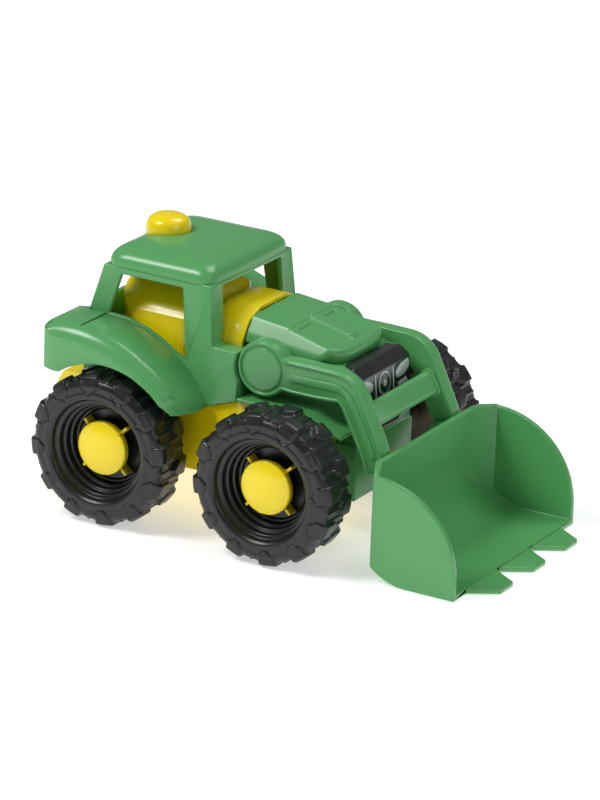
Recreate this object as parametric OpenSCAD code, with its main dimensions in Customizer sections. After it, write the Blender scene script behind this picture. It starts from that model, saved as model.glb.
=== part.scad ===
// Preschool toy front loader: a chunky tractor with a hinged loader frame and bucket.
// +X points forward, +Y to the driver's left and +Z up. The origin is on the floor,
// under the middle of the model's overall box. All sizes are in millimetres.

/* [Overall] */
// Distance between the two axles
wheelbase = 79; // [76:1:95]
// Rear axle back to the tail of the chassis
tail_reach = 44; // [42:1:53]
// Front axle forward to the tips of the bucket's teeth
bucket_reach = 96.5; // [94:0.5:116]
// Width over the outer faces of the wheels
overall_w = 133; // [129:1:160]

/* [Wheels] */
// Radius of a wheel over its lugs
wheel_r = 33; // [27.5:0.5:34]
// Width of a wheel
wheel_w = 22.4; // [19:0.1:23.5]
// Radius of the round opening in a wheel's outer face
dish_r = 22.8; // [19:0.1:24]
// Lugs on each shoulder of a wheel
lug_count = 12; // [8:1:16]
// Radius of the steel axle rods
axle_r = 2; // [1.5:0.1:3]
// Radius of a hub cap
cap_r = 11.6; // [9:0.1:14]

/* [Body] */
// Wall of the moulded shells
wall = 2.4; // [1.6:0.1:2.8]
// Half width of the cab at its base
cab_half = 37; // [35:0.5:38.5]
// Half width of the cab under the roof
roof_half = 33; // [28:0.5:34]
// Height of the crown of the roof
roof_z = 112; // [109:0.5:130]
// Half width of the front cowl that carries the hood
cowl_half = 22; // [19:0.5:23]
// Outer face of a rear fender from the middle plane
fender_half = 62; // [57:0.5:64]

/* [Loader] */
// Radius of the round boss at the top of a loader arm
boss_r = 12; // [9:0.1:13]
// Thickness of a loader arm
arm_t = 7.6; // [5:0.1:9.1]
// Inner face of a loader arm from the middle plane
arm_in = 26.4; // [25.5:0.1:29]
// Radius of the shaft that both arms are pressed on
shaft_r = 3; // [2:0.1:4]
// Half width of the bucket
bucket_half = 53.3; // [46:0.1:64]
// Height of the bucket's back wall
bucket_h = 47.2; // [44:0.1:54]
// Wall of the bucket
bucket_wall = 2.6; // [2:0.1:3.2]
// Number of teeth on the bucket's lip
tooth_count = 3; // [2:1:5]

/* [Button and sound unit] */
// Radius of the dome that is pushed
button_r = 9.8; // [7:0.1:11]
// Height of the dome above the roof
button_h = 7; // [5:0.1:9]
// How far the dome goes down
button_travel = 3; // [2:0.1:4]
// Number of cells in the battery box
cell_count = 3; // [2:1:3]

/* [Clearances] */
// Radial clearance of a part that turns or slides
run_gap = 0.08; // [0.02:0.01:0.1]
// Radial clearance of a part that is pressed in
press_gap = 0.02; // [0.01:0.01:0.04]
// Gap between parts that pass each other
pass_gap = 0.4; // [0.3:0.05:0.6]

/* [Hidden] */
$fn = 48;

overall_l = tail_reach + wheelbase + bucket_reach;
ra = -overall_l / 2 + tail_reach;      // rear axle
fa = ra + wheelbase;                   // front axle
lap = 0.01;                            // cuts run past a face by this much

// colours
green = [0.14, 0.47, 0.16];
yellow = [0.98, 0.85, 0.05];
black = [0.10, 0.10, 0.11];
steel = [0.72, 0.73, 0.75];

// wheels
wheel_out = overall_w / 2;
wheel_in = wheel_out - wheel_w;
lug_h = 1.8;
tread_r = wheel_r - lug_h;
web_y = 13.5;                          // web of the wheel, inboard of its outer face
web_t = 2.6;
hub_r = 6;
cap_y = 5.4;                           // rim of the cap, inboard of the outer face
cap_t = 3;

// chassis
floor_z = wheel_r - 11;                 // under side of the chassis, tied to the axles
shell_base_z = floor_z - 2;            // under side of the cowl's front block
sill_z = 53;                           // lower edge of the cab's sides
cowl_sill_z = 57;
chassis_half = cab_half - 2;
nose_x = fa + 21.3;                    // front face of the cowl's lower block
chassis_front = fa + 9.8;
nose_top = 75.1;
cowl_post_top = nose_top + 1.8;
narrow_x = ra + 57.6;                  // where the chassis narrows to go inside the cowl
narrow_half = cowl_half - wall - pass_gap;

// battery box and speaker, in the floor of the chassis
cell_r = 5.8;
cell_h = 5.4;
box_x = ra + 34;
box_half_l = 16;
box_half_w = cell_r + 3.6;
door_t = 2;
cell_room = 2 * cell_r + 0.6;
door_post_r = 2.6;
door_screw_x = box_x + box_half_l - 3;
speaker_x = ra + 5;
speaker_r = 10;
speaker_t = 5;

// loader
pivot_x = fa - 19.2;
pivot_z = 72.5;
knee = [fa + 13, pivot_z - 11.1];      // centre of the bend of an arm
leg_w = 11.7;
bar_top = pivot_z + 6.3;
bar_bot = pivot_z - 8.2;
pin_x = fa + 33.75;                    // bucket's hinge
pin_z = 39.5;
pin_r = 2;
arm_end_r = 4;
leg_a = 63.4;                          // slope of an arm's lower leg
boss_in = 24.6;                        // inner face of the boss
bucket_x = fa + 37.3;                  // rearmost point of the bucket
bucket_lip = fa + 84.8;
bucket_r = 25;                         // bend between back wall and floor
lug_t = 3.8;
lug_in = arm_in - lug_t - pass_gap;
bar_w = 10.5;
bar_t = 5;
bar_mid = [fa + 27.9, 59.4];

// cab
roof_edge_z = roof_z - 8;
cab_rear = ra - 25.5;
cab_front = ra + 38.5;
cowl_z = 77.6;                         // top ledge of the front cowl
ledge_x = ra + 49.4;                   // front of the cab's base
fender_c = [ra - 18, 19];              // centre of the fender's long top arc
fender_r = 64.5;
fender_rear = ra - 32;
arch_r = wheel_r + 3.6;

// button
button_x = ra - 7.3;
button_rim = 2;
stem_r = 2.4;
seat_z = 96;                           // crown of the seat block
seat_front_z = 90.5;                   // where the crown has fallen to at its front
roof_under = roof_z - wall - 0.6;      // where the button's rim stops
rim_t = 1.5;
seat_half = 27;
seat_crown_r = 32;
dash_half = 25.5;
spring_r = 5.2;
wire_r = 0.45;
coils = 5;
board_z = 80;
switch_h = 3;

// screws
screw_r = 1.5;
screw_head_r = 3;
screw_head_h = 1.8;
post_r = 3.2;
post_z = 40;
screw_l = post_z - floor_z + 2;
counterbore = 8;
foot_r = screw_head_r + 1.9;            // chassis post round a screw's head
post_y = chassis_half - wall - post_r - 0.2;
screw_at = [
    [ra - 16, post_y], [ra + 42, post_y], [fa - 8, narrow_half - wall - post_r - 0.3]
];

// an outline in X and Z carried from y0 to y1
module prism_y(y0, y1) {
    translate([0, y1, 0]) rotate([90, 0, 0]) linear_extrude(height = y1 - y0) children();
}

// an outline in Y and Z carried from x0 to x1
module prism_x(x0, x1) {
    translate([x0, 0, 0]) rotate([90, 0, 90]) linear_extrude(height = x1 - x0) children();
}

// a round bar along Y
module bar_y(x, z, r, y0, y1) {
    translate([x, y1, z]) rotate([90, 0, 0]) cylinder(r = r, h = y1 - y0);
}

// the same shape on both sides of the middle plane
module both_sides() {
    children();
    mirror([0, 1, 0]) children();
}

// a rectangle with round corners
module round_rect(x0, y0, x1, y1, r) {
    translate([x0 + r, y0]) square([x1 - x0 - 2 * r, y1 - y0]);
    translate([x0, y0 + r]) square([x1 - x0, y1 - y0 - 2 * r]);
    for (x = [x0 + r, x1 - r], y = [y0 + r, y1 - r]) translate([x, y]) circle(r = r);
}

// ---- wheels ----

// half section of a wheel: radius, and depth inboard of the outer face
module wheel_section(bore) {
    polygon([
        [bore, web_y - 5], [hub_r, web_y - 5], [hub_r, web_y],
        [dish_r - 6, web_y], [dish_r - 5, web_y - 4], [dish_r - 2.6, web_y - 5.2],
        [dish_r - 2, 3.2], [dish_r - 0.6, 2.6], [dish_r, 0],
        [wheel_r - 5, 0], [wheel_r - 2.6, 0.8], [tread_r, 3.4],
        [tread_r, wheel_w - 3.4], [wheel_r - 2.6, wheel_w - 0.8], [wheel_r - 5, wheel_w],
        [dish_r, wheel_w], [dish_r - 1, web_y + web_t + 2], [hub_r + 4, web_y + web_t],
        [hub_r, wheel_w], [bore, wheel_w]
    ]);
}

// lugs of one shoulder: a house shape on the tread that wraps on to the sidewall
module lugs(turn) {
    ring_w = wheel_w / 2 + 1.2;
    half = 3.8;
    intersection() {
        rotate_extrude() polygon([
            [tread_r - 1.2, 1.4], [wheel_r - 2, 0.5], [wheel_r, 2.6],
            [wheel_r, ring_w + 1], [tread_r - 1.2, ring_w + 1]
        ]);
        for (i = [0 : lug_count - 1]) rotate([0, 0, turn + i * 360 / lug_count])
            translate([tread_r - 2, 0, 0]) rotate([90, 0, 90]) linear_extrude(height = lug_h + 4)
                polygon([[-half, 0], [half, 0], [half, ring_w - 3.6], [0, ring_w], [-half, ring_w - 3.6]]);
    }
}

// a wheel with its outer face at z = 0 and its inner face at z = wheel_w
module wheel_blank() {
    step = 180 / lug_count;
    union() {
        rotate_extrude() wheel_section(axle_r + press_gap);
        lugs(step / 2);
        translate([0, 0, wheel_w]) mirror([0, 0, 1]) lugs(-step / 2);
    }
}

// a left wheel: outer face at +Y
module wheel_at(x) {
    color(black) translate([x, wheel_out, wheel_r]) rotate([90, 0, 0]) wheel_blank();
}

// hub cap: a crowned disc on a boss, with four ribs that stand on the web of the wheel
module cap_at(x) {
    socket = hub_r + pass_gap;
    rib_t = 1.3;
    color(yellow) translate([x, wheel_out, wheel_r]) rotate([90, 0, 0]) difference() {
        union() {
            translate([0, 0, cap_y]) cylinder(r = cap_r, h = cap_t);
            crown = 2;
            ball_r = (cap_r * cap_r + crown * crown) / (2 * crown);
            intersection() {
                translate([0, 0, cap_y - crown + ball_r]) sphere(r = ball_r, $fn = 96);
                translate([0, 0, cap_y - crown]) cylinder(r = cap_r - 0.01, h = crown + 0.5);
            }
            for (a = [45, 135]) rotate([0, 0, a]) translate([-cap_r - 3.2, -rib_t / 2, cap_y + cap_t - 0.6])
                cube([2 * (cap_r + 3.2), rib_t, web_y - cap_y - cap_t + 0.6 - pass_gap]);
        }
        translate([0, 0, cap_y + cap_t - 1]) cylinder(r = socket, h = web_y);
        translate([0, 0, cap_y + 1]) cylinder(r = axle_r + press_gap, h = web_y);
    }
}

module axle_at(x) {
    end = wheel_out - cap_y - 1.4;
    color(steel) bar_y(x, wheel_r, axle_r, -end, end);
}

// ---- chassis ----

// side outline of the chassis, drawn in from its outside by w
module chassis_side(w) {
    polygon([
        [ra - tail_reach + 4 + w, floor_z + w], [ra - tail_reach + w, floor_z + 15],
        [ra - tail_reach + 1 + w, floor_z + 19], [ra - tail_reach + 8 + w, sill_z - pass_gap],
        [ra + 38, sill_z - pass_gap], [ledge_x, cowl_sill_z - pass_gap],
        [narrow_x - w, cowl_sill_z - pass_gap], [narrow_x - w, floor_z + w]
    ]);
}

module chassis() {
    color(yellow) difference() {
        union() {
            difference() {
                intersection() {
                    prism_y(-chassis_half, chassis_half) chassis_side(0);
                    linear_extrude(height = 100)
                        round_rect(ra - tail_reach, -chassis_half, narrow_x, chassis_half, 7);
                }
                intersection() {
                    prism_y(-chassis_half + wall, chassis_half - wall) union() {
                        intersection() {
                            chassis_side(wall);
                            translate([ra - 80, 0]) square([200, sill_z - pass_gap - wall]);
                        }
                        translate([cab_rear + wall, floor_z + 20])
                            square([narrow_x - cab_rear - 2 * wall, 80]);
                    }
                    linear_extrude(height = 100) round_rect(ra - tail_reach + wall, -chassis_half + wall,
                        narrow_x - wall, chassis_half - wall, 7 - wall);
                }
            }
            // narrow front box that goes inside the cowl
            difference() {
                translate([narrow_x - 3, -narrow_half, floor_z])
                    cube([chassis_front - narrow_x + 3, 2 * narrow_half, cowl_sill_z - pass_gap - floor_z]);
                translate([narrow_x + 0.5, -narrow_half + wall, floor_z + wall])
                    cube([chassis_front - narrow_x - wall - 0.5, 2 * (narrow_half - wall), 80]);
            }
            // axle bearings
            both_sides() {
                bar_y(ra, wheel_r, axle_r + 2.6, chassis_half - 9, wheel_in - 0.8);
                bar_y(fa, wheel_r, axle_r + 2.6, narrow_half - 6, wheel_in - 0.8);
            }
            // screw posts
            both_sides() for (p = screw_at) translate([p[0], p[1], floor_z])
                cylinder(r = foot_r, h = post_z - floor_z - 0.3);
            // walls of the battery box
            translate([box_x - box_half_l - wall, -box_half_w - wall, floor_z])
                cube([2 * (box_half_l + wall), 2 * (box_half_w + wall), door_t + cell_room + wall]);
            // collar that holds the speaker
            translate([speaker_x, 0, floor_z]) cylinder(r = speaker_r + wall, h = wall + speaker_t);
        }
        both_sides() {
            bar_y(ra, wheel_r, axle_r + run_gap, chassis_half - 9 - lap, wheel_in);
            bar_y(fa, wheel_r, axle_r + run_gap, narrow_half - 6 - lap, wheel_in);
            for (p = screw_at) translate([p[0], p[1], floor_z - lap]) {
                cylinder(r = screw_r + 0.3, h = post_z);
                cylinder(r = screw_head_r + 0.3, h = counterbore);
            }
        }
        // notches for the sides of the cowl
        both_sides() translate([narrow_x - 3, cowl_half - wall - pass_gap, 45 - pass_gap])
            cube([4, wall + 2 * pass_gap, 20]);
        // battery box, open below for the door
        difference() {
            translate([box_x - box_half_l, -box_half_w, floor_z + door_t])
                cube([2 * box_half_l, 2 * box_half_w, cell_room]);
            translate([door_screw_x, 0, floor_z]) cylinder(r = door_post_r, h = 30);
        }
        translate([box_x - box_half_l - 1.2, -box_half_w - 1.2, floor_z - lap])
            cube([2 * (box_half_l + 1.2), 2 * (box_half_w + 1.2), door_t + 2 * lap]);
        translate([door_screw_x, 0, floor_z]) cylinder(r = screw_r - 0.3 + press_gap, h = 11);
        // speaker pocket and its sound holes
        translate([speaker_x, 0, floor_z + wall]) cylinder(r = speaker_r + press_gap, h = 20);
        for (x = [-6, -2, 2, 6]) translate([speaker_x + x - 0.8, -5, floor_z - 1]) cube([1.6, 10, 5]);
    }
}

module battery_door() {
    gap = 0.3;
    color(yellow) difference() {
        translate([box_x - box_half_l - 1.2 + gap, -box_half_w - 1.2 + gap, floor_z])
            cube([2 * (box_half_l + 1.2 - gap), 2 * (box_half_w + 1.2 - gap), door_t - 0.1]);
        translate([door_screw_x, 0, floor_z - 1]) cylinder(r = screw_r, h = door_t + 2);
        translate([door_screw_x, 0, floor_z - 1]) cylinder(r = 2.4, h = 2);
        for (x = [4, 7, 10]) translate([box_x - box_half_l + x, -5, floor_z - 1]) cube([1.4, 10, 1.6]);
    }
}

// a cross-head screw, head down at z = 0
module screw(head_r, head_h, r, l) {
    difference() {
        union() {
            cylinder(r = head_r, h = head_h);
            cylinder(r = r, h = l);
        }
        for (a = [0, 90]) rotate([0, 0, a]) translate([-head_r * 0.6, -0.4, -lap])
            cube([head_r * 1.2, 0.8, head_h * 0.6]);
    }
}

module door_screw() {
    color(steel) translate([door_screw_x, 0, floor_z + 0.1]) screw(2.3, 0.8, screw_r - 0.3, 9);
}

module battery_cells() {
    color(steel) for (i = [0 : cell_count - 1])
        translate([box_x - box_half_l + 2.2 + i * (cell_h + 0.1), 0, floor_z + door_t + 0.4 + cell_r])
            rotate([0, 90, 0]) cylinder(r = cell_r - 0.3, h = cell_h);
}

module battery_contacts() {
    last = box_x - box_half_l + 2.2 + cell_count * (cell_h + 0.1);
    color(steel) for (x = [box_x - box_half_l + 1.2, last + 0.3])
        translate([x, -4, floor_z + door_t + 1]) cube([0.6, 8, 9]);
}

module speaker() {
    z0 = floor_z + wall;
    color(black) translate([speaker_x, 0, z0]) difference() {
        union() {
            cylinder(r = speaker_r, h = 2);
            cylinder(r = speaker_r - 4, h = speaker_t);
        }
        translate([0, 0, -lap]) cylinder(r = speaker_r - 1.4, h = 0.8);
    }
}

// ---- cab ----

// side outline of the cab's shell, drawn in by w; its base is at z0
module cab_side(w, z0) {
    polygon([
        [cab_rear + w, z0], [ra - 24 + w, 83], [ra - 18 + w, roof_edge_z],
        [ra - 16.6 + w, roof_edge_z + 4.6 - w * 0.6], [ra - 11 + w, roof_z - 0.8 - w],
        [ra + 4, roof_z - w], [ra + 24, roof_z - 0.8 - w], [ra + 31 - w, roof_edge_z + 4 - w * 0.6],
        [ra + 34 - w, roof_edge_z - 1.5], [cab_front - w, z0]
    ]);
}

// front outline of the cab's shell, drawn in by w
module cab_section(w) {
    half_low = cab_half - w;
    half_top = roof_half - w;
    outline = [
        [half_low, sill_z - 1], [half_top, roof_edge_z], [half_top - 1.4, roof_edge_z + 3.6 - w * 0.5],
        [half_top - 5, roof_edge_z + 6.2 - w * 0.8], [half_top - 15, roof_z - 0.6 - w], [0, roof_z + 0.01 - w]
    ];
    polygon(concat(outline, [for (i = [len(outline) - 2 : -1 : 0]) [-outline[i][0], outline[i][1]]]));
}

// the cab's base in front of the pillars, which carries the loader
module cab_base(w) {
    intersection() {
        prism_y(-cab_half + w, cab_half - w)
            polygon([
                [ra + 28, sill_z - lap], [cab_front - 0.5, sill_z - lap], [ledge_x - w, cowl_sill_z],
                [ledge_x - w, cowl_z - w], [ra + 28, cowl_z - w]
            ]);
        prism_x(ra, fa) cab_section(w);
    }
}

// one rear fender, on the left: a turned cap with a rounded outer edge, cut to plan
module fender_solid(w) {
    r = fender_r - w;
    edge = 7 - w;
    outer = fender_half - w;
    intersection() {
        translate([fender_c[0], 0, fender_c[1]]) rotate([-90, 0, 0]) rotate_extrude($fn = 96) union() {
            translate([0, cab_half - 8]) square([r, outer - edge - cab_half + 8]);
            translate([0, cab_half - 8]) square([r - edge, outer - cab_half + 8]);
            translate([r - edge, outer - edge]) circle(r = edge);
        }
        linear_extrude(height = 100) polygon([
            [fender_rear + w, 0], [fender_rear + w, fender_half - 7], [fender_rear + 2 + w, fender_half - 2],
            [fender_rear + 7, outer], [ra + 27, outer], [ra + 34 - w, fender_half - 8],
            [ra + 41 - w, cab_half + 1], [ra + 41 - w, 0]
        ]);
        prism_y(0, 80) polygon([
            [fender_rear - 1, 62.5 - w * 2], [ra, 62.5 - w * 2], [ra, sill_z - 0.4 - w * 2],
            [ra + 50, sill_z - 0.4 - w * 2], [ra + 50, 90], [ra - 20, 90], [ra - 27 + w, 90],
            [fender_rear + w, 76], [fender_rear + w, 62.5]
        ]);
    }
}

// side window, cut through both sides of the cab
module side_window() {
    polygon([
        [ra - 14.5, 82.5], [ra - 9.6, roof_edge_z - 4], [ra + 20.2, roof_edge_z - 4], [ra + 24.2, 69.5],
        [ra + 19, 71.8], [ra + 12, 76], [ra + 4.5, 79.4], [ra - 5, 81.9]
    ]);
}

module cab_shell() {
    screw_top = 62;
    color(green) difference() {
        union() {
            difference() {
                intersection() {
                    prism_y(-cab_half - 1, cab_half + 1) cab_side(0, sill_z);
                    prism_x(cab_rear - 1, cab_front + 1) cab_section(0);
                }
                intersection() {
                    prism_y(-cab_half, cab_half) cab_side(wall, sill_z - 1);
                    prism_x(cab_rear, cab_front) cab_section(wall);
                }
            }
            difference() {
                cab_base(0);
                translate([0, 0, -lap]) cab_base(wall);
            }
            both_sides() difference() {
                fender_solid(0);
                fender_solid(wall);
                translate([cab_rear + wall, 0, 0]) cube([cab_front - cab_rear - 2 * wall, cab_half - 0.6, 120]);
                translate([ra - 40, 0, 0]) cube([90, cab_half - 3.6, 120]);
                bar_y(ra, wheel_r, arch_r, cab_half + 2, 90);
            }
            // posts that the case screws go into
            both_sides() for (i = [0, 1]) translate([screw_at[i][0], screw_at[i][1], 0]) {
                translate([0, 0, post_z]) cylinder(r = post_r, h = screw_top - post_z);
                translate([-1.2, 0, 56]) cube([2.4, cab_half - 1.2 - post_y, screw_top - 56]);
            }
            // thicker front where the arms' bosses are let in
            intersection() {
                cab_base(0);
                both_sides() bar_y(pivot_x, pivot_z, boss_r + pass_gap + 1.8, boss_in - pass_gap, cab_half);
            }
        }
        both_sides() bar_y(pivot_x, pivot_z, boss_r + pass_gap, boss_in - pass_gap - lap, cab_half + 1);
        // inside of the cab, clear of the fenders' roots
        intersection() {
            prism_y(-cab_half + wall + 0.8, cab_half - wall - 0.8)
                translate([ra - 20, 66]) square([50, 30]);
            prism_x(cab_rear, cab_front) cab_section(wall);
        }
        prism_y(-80, 80) side_window();
        // windscreen, and the rear window
        translate([ra + 22, -roof_half + 9, cowl_z + 1]) cube([30, 2 * (roof_half - 9), roof_edge_z - cowl_z - 4]);
        translate([ra - 40, -roof_half + 8, 86]) cube([30, 2 * (roof_half - 8), roof_edge_z - 90]);
        // opening of the base under the dash
        translate([ra + 26, -dash_half - 0.7, sill_z - 1])
            cube([ledge_x - wall - ra - 26, 2 * (dash_half + 0.7), cowl_z + 5 - sill_z]);
        // hole for the button
        translate([button_x, 0, roof_z - 12]) cylinder(r = button_r + pass_gap, h = 20);
        translate([button_x, 0, roof_z - 12]) cylinder(r = button_r + button_rim + 0.8, h = roof_under - roof_z + 12);
        both_sides() for (i = [0, 1]) translate([screw_at[i][0], screw_at[i][1], post_z - lap])
            cylinder(r = screw_r + press_gap, h = 16);
    }
}

// ---- front cowl, hood and label ----

// side outline of the cowl, drawn in by w
module cowl_side(w) {
    polygon([
        [ledge_x + pass_gap, 45], [fa + 10.6, 45], [fa + 10.6, shell_base_z], [nose_x - w, shell_base_z],
        [nose_x - w, 46], [fa + 19 - w, 71], [fa + 15.6 - w, nose_top - w], [fa + 10.4, nose_top - w],
        [fa + 4.5, nose_top + 1.5 - w], [ledge_x + pass_gap, 81 - w]
    ]);
}

module front_cowl() {
    ledge_t = 1.6;
    color(green) difference() {
        union() {
            prism_y(-cowl_half, cowl_half) cowl_side(0);
            // wider block under the label
            prism_y(-cowl_half - 2, cowl_half + 2) polygon([
                [fa + 10.6, shell_base_z], [nose_x, shell_base_z], [nose_x, 44], [fa + 10.6, 44]
            ]);
            // ledges over the front wheels
            both_sides() prism_y(cowl_half - 1, cab_half) polygon([
                [ledge_x + pass_gap, cowl_sill_z], [fa + 5, cowl_sill_z], [fa + 12, 53], [fa + 21, 50.5],
                [fa + 21, 50.5 + ledge_t], [fa + 12, 53 + ledge_t], [fa + 5, cowl_sill_z + ledge_t],
                [ledge_x + pass_gap, cowl_sill_z + ledge_t]
            ]);
            // bearing bosses for the arm shaft
            both_sides() bar_y(pivot_x, pivot_z, shaft_r + 3, cowl_half - 4, boss_in - pass_gap);
            // screw posts
            both_sides() translate([screw_at[2][0], screw_at[2][1], post_z])
                cylinder(r = post_r, h = cowl_post_top - post_z);
        }
        difference() {
            translate([0, 0, -lap]) prism_y(-cowl_half + wall, cowl_half - wall) union() {
                cowl_side(wall);
                translate([ledge_x - 1, 40]) square([fa + 8 - ledge_x, 20]);
                translate([ledge_x - 1, 60]) square([6, 17]);
            }
            both_sides() {
                bar_y(pivot_x, pivot_z, shaft_r + 3, cowl_half - 4, cowl_half);
                translate([screw_at[2][0], screw_at[2][1], post_z])
                    cylinder(r = post_r, h = cowl_post_top - post_z);
            }
        }
        bar_y(pivot_x, pivot_z, shaft_r + run_gap, -boss_in, boss_in);
        both_sides() translate([screw_at[2][0], screw_at[2][1], post_z - lap])
            cylinder(r = screw_r + press_gap, h = 16);
    }
}

// half outlines of the hood: plan of its lip and of its flat top
function hood_plan(half, front, back) = [
    [back, -half], [front - 11, -half], [front - 4, -half + 3.5], [front - 0.6, -half + 10],
    [front, 0], [front - 0.6, half - 10], [front - 4, half - 3.5], [front - 11, half], [back, half]
];

module hood() {
    back = ledge_x - 3.4;
    lip_half = 24;
    top_half = 19;
    lip_front = fa + 10.4;
    bevel = [[-lip_half, 60], [-lip_half, 81], [-top_half, 88.6], [0, 89.6], [top_half, 88.6], [lip_half, 81],
        [lip_half, 60]];
    color(green) difference() {
        intersection() {
            linear_extrude(height = 100) polygon(hood_plan(lip_half, lip_front, back));
            prism_x(back - 1, fa + 30) polygon(bevel);
            prism_y(-40, 40) polygon([
                [back, 83.5], [back, 89.6], [fa - 14, 87.6], [fa + 4, 83], [lip_front + 0.5, 77.6],
                [lip_front + 0.5, 75.4], [fa + 2, 78.4]
            ]);
        }
        // hollow that fits over the cowl
        intersection() {
            translate([back - 5, -cowl_half - 0.3, 60]) cube([fa + 5.4 - back, 2 * cowl_half + 0.6, 40]);
            prism_y(-40, 40) polygon([
                [back - 1, 60], [back - 1, 86.4], [fa - 14, 84.6], [fa + 2, 80.6], [fa + 8.2, 77.3],
                [fa + 8.2, 60]
            ]);
        }
    }
}

// a pressed label on the sloping face of the nose
module grille_label() {
    t = 0.8;
    color(black) {
        intersection() {
            prism_y(-cowl_half, cowl_half) polygon([
                [fa + 15.65, nose_top], [fa + 19.05, 71], [nose_x + 0.05, 46.4], [nose_x + t, 46.4],
                [fa + 19 + t, 71], [fa + 15.8 + t, nose_top]
            ]);
            prism_x(fa, fa + 40) polygon([
                [-11, 46.4], [11, 46.4], [cowl_half, 60], [cowl_half, 71.5], [cowl_half - 5, nose_top],
                [5 - cowl_half, nose_top], [-cowl_half, 71.5], [-cowl_half, 60]
            ]);
        }
    }
}

// ---- seat, dash and sound unit ----

// the seat block is hollow below and holds the sound board
module seat_block(w) {
    intersection() {
        prism_y(-seat_half - 1, seat_half + 1) polygon([
            [ra - 40, 0], [ra - 40, seat_z - w], [ra + 17 - w, seat_z - w], [ra + 23 - w, seat_front_z - w],
            [ra + 40, seat_front_z - w], [ra + 40, 0]
        ]);
        linear_extrude(height = seat_z)
            round_rect(ra - 17 + w, w - seat_half, ra + 23 - w, seat_half - w, 12 - w);
        prism_x(ra - 40, ra + 40) union() {
            translate([w - seat_crown_r, 30]) square([2 * (seat_crown_r - w), seat_z - seat_crown_r - 30]);
            translate([0, seat_z - seat_crown_r]) circle(r = seat_crown_r - w);
        }
    }
}

module seat_and_dash() {
    tray_z = sill_z - pass_gap;
    tray_half = cab_half - wall - 0.6;
    dash_back = ra + 29;
    dash_front = ra + 45;
    color(yellow) difference() {
        union() {
            difference() {
                intersection() {
                    seat_block(0);
                    translate([-200, -100, tray_z]) cube([400, 200, 100]);
                }
                seat_block(wall);
            }
            // tray that rests on the chassis and joins the seat to the dash
            translate([ra - 19, -seat_half, tray_z]) cube([44, 2 * seat_half, 2]);
            translate([ra + 20, 0.5 - dash_half, tray_z]) cube([24, 2 * dash_half - 1, 2]);
            translate([ra - 8, -tray_half, tray_z]) cube([42, 2 * tray_half, 2]);
            // dash: an arch under the windscreen
            prism_x(dash_back, dash_front) difference() {
                polygon([
                    [-25.5, tray_z], [-25.5, 79], [-20, 87], [-11, 91], [11, 91], [20, 87], [25.5, 79], [25.5, tray_z]
                ]);
                polygon([
                    [-23.4, tray_z - 1], [-23.4, 78.4], [-18.6, 85], [-10.4, 88.8], [10.4, 88.8], [18.6, 85],
                    [23.4, 78.4], [23.4, tray_z - 1]
                ]);
            }
            prism_x(dash_back, dash_back + 2) polygon([
                [-24, tray_z], [-24, 78.6], [-19, 86], [-10.6, 90], [10.6, 90], [19, 86], [24, 78.6], [24, tray_z]
            ]);
        }
        // open floor under the seat, for the sound board
        translate([ra - 9, -22, tray_z - 1]) cube([21, 44, 4]);
        both_sides() for (i = [0, 1]) translate([screw_at[i][0], screw_at[i][1], tray_z - 1])
            cylinder(r = post_r + pass_gap, h = 4);
        translate([button_x, 0, seat_z - 10]) cylinder(r = stem_r + 0.6, h = 20);
    }
}

module sound_board() {
    tray_z = sill_z - pass_gap;
    color([0.1, 0.35, 0.2]) union() {
        translate([ra - 13, -10, board_z - switch_h]) cube([26, 20, 1.4]);
        // push switch under the stem, and two tall capacitors
        translate([button_x - 3, -3, board_z - switch_h]) cube([6, 6, 4]);
        for (y = [-6, 6]) translate([ra + 6, y, board_z - switch_h - 6]) cylinder(r = 2.4, h = 6.5);
        // legs down to the tray's rim
        for (x = [ra - 13, ra + 13]) translate([x, -15, board_z - switch_h]) cube([1.4, 30, 1.4]);
        for (x = [ra - 13, ra + 13], y = [-15, 13.6]) translate([x, y, tray_z + 2])
            cube([1.4, 1.4, board_z - switch_h - tray_z - 1]);
    }
}

module roof_button() {
    stem_low = board_z + 1 + button_travel + 0.1;
    rim_z = roof_under - rim_t;
    side_h = roof_z - roof_under + 1.4;
    dome_h = button_h - 1.4;
    ball_r = (button_r * button_r + dome_h * dome_h) / (2 * dome_h);
    color(yellow) translate([button_x, 0, 0]) union() {
        translate([0, 0, rim_z]) cylinder(r = button_r + button_rim, h = rim_t);
        translate([0, 0, rim_z]) cylinder(r = button_r, h = rim_t + side_h);
        intersection() {
            translate([0, 0, roof_z + 1.4 + dome_h - ball_r]) sphere(r = ball_r, $fn = 96);
            translate([0, 0, roof_z + 1.3]) cylinder(r = button_r - 0.01, h = dome_h + 1);
        }
        translate([0, 0, stem_low]) cylinder(r = stem_r, h = rim_z - stem_low + lap);
    }
}

// points of a helix of round wire: rings of points along n turns
function ring_at(t, r, w, h, n, sides) = [for (k = [0 : sides - 1])
    let (a = 360 * n * t, b = 360 * k / sides, rr = r + w * cos(b))
    [rr * cos(a), rr * sin(a), h * t + w * sin(b)]];

module button_spring() {
    sides = 8;
    steps = coils * 14;
    z0 = seat_z + wire_r + 0.05;
    h = roof_under - rim_t - seat_z - 2 * wire_r - 0.1;
    pts = [for (i = [0 : steps]) each ring_at(i / steps, spring_r, wire_r, h, coils, sides)];
    sides_faces = [for (i = [0 : steps - 1], k = [0 : sides - 1])
        [i * sides + k, (i + 1) * sides + k, (i + 1) * sides + (k + 1) % sides, i * sides + (k + 1) % sides]];
    caps = [[for (k = [0 : sides - 1]) k], [for (k = [sides - 1 : -1 : 0]) steps * sides + k]];
    color(steel) translate([button_x, 0, z0]) polyhedron(points = pts, faces = concat(sides_faces, caps));
}

module case_screws() {
    color(steel) both_sides() for (p = screw_at)
        translate([p[0], p[1], floor_z + counterbore - screw_head_h - lap]) screw(screw_head_r, screw_head_h, screw_r, screw_l);
}

// ---- loader ----

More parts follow.
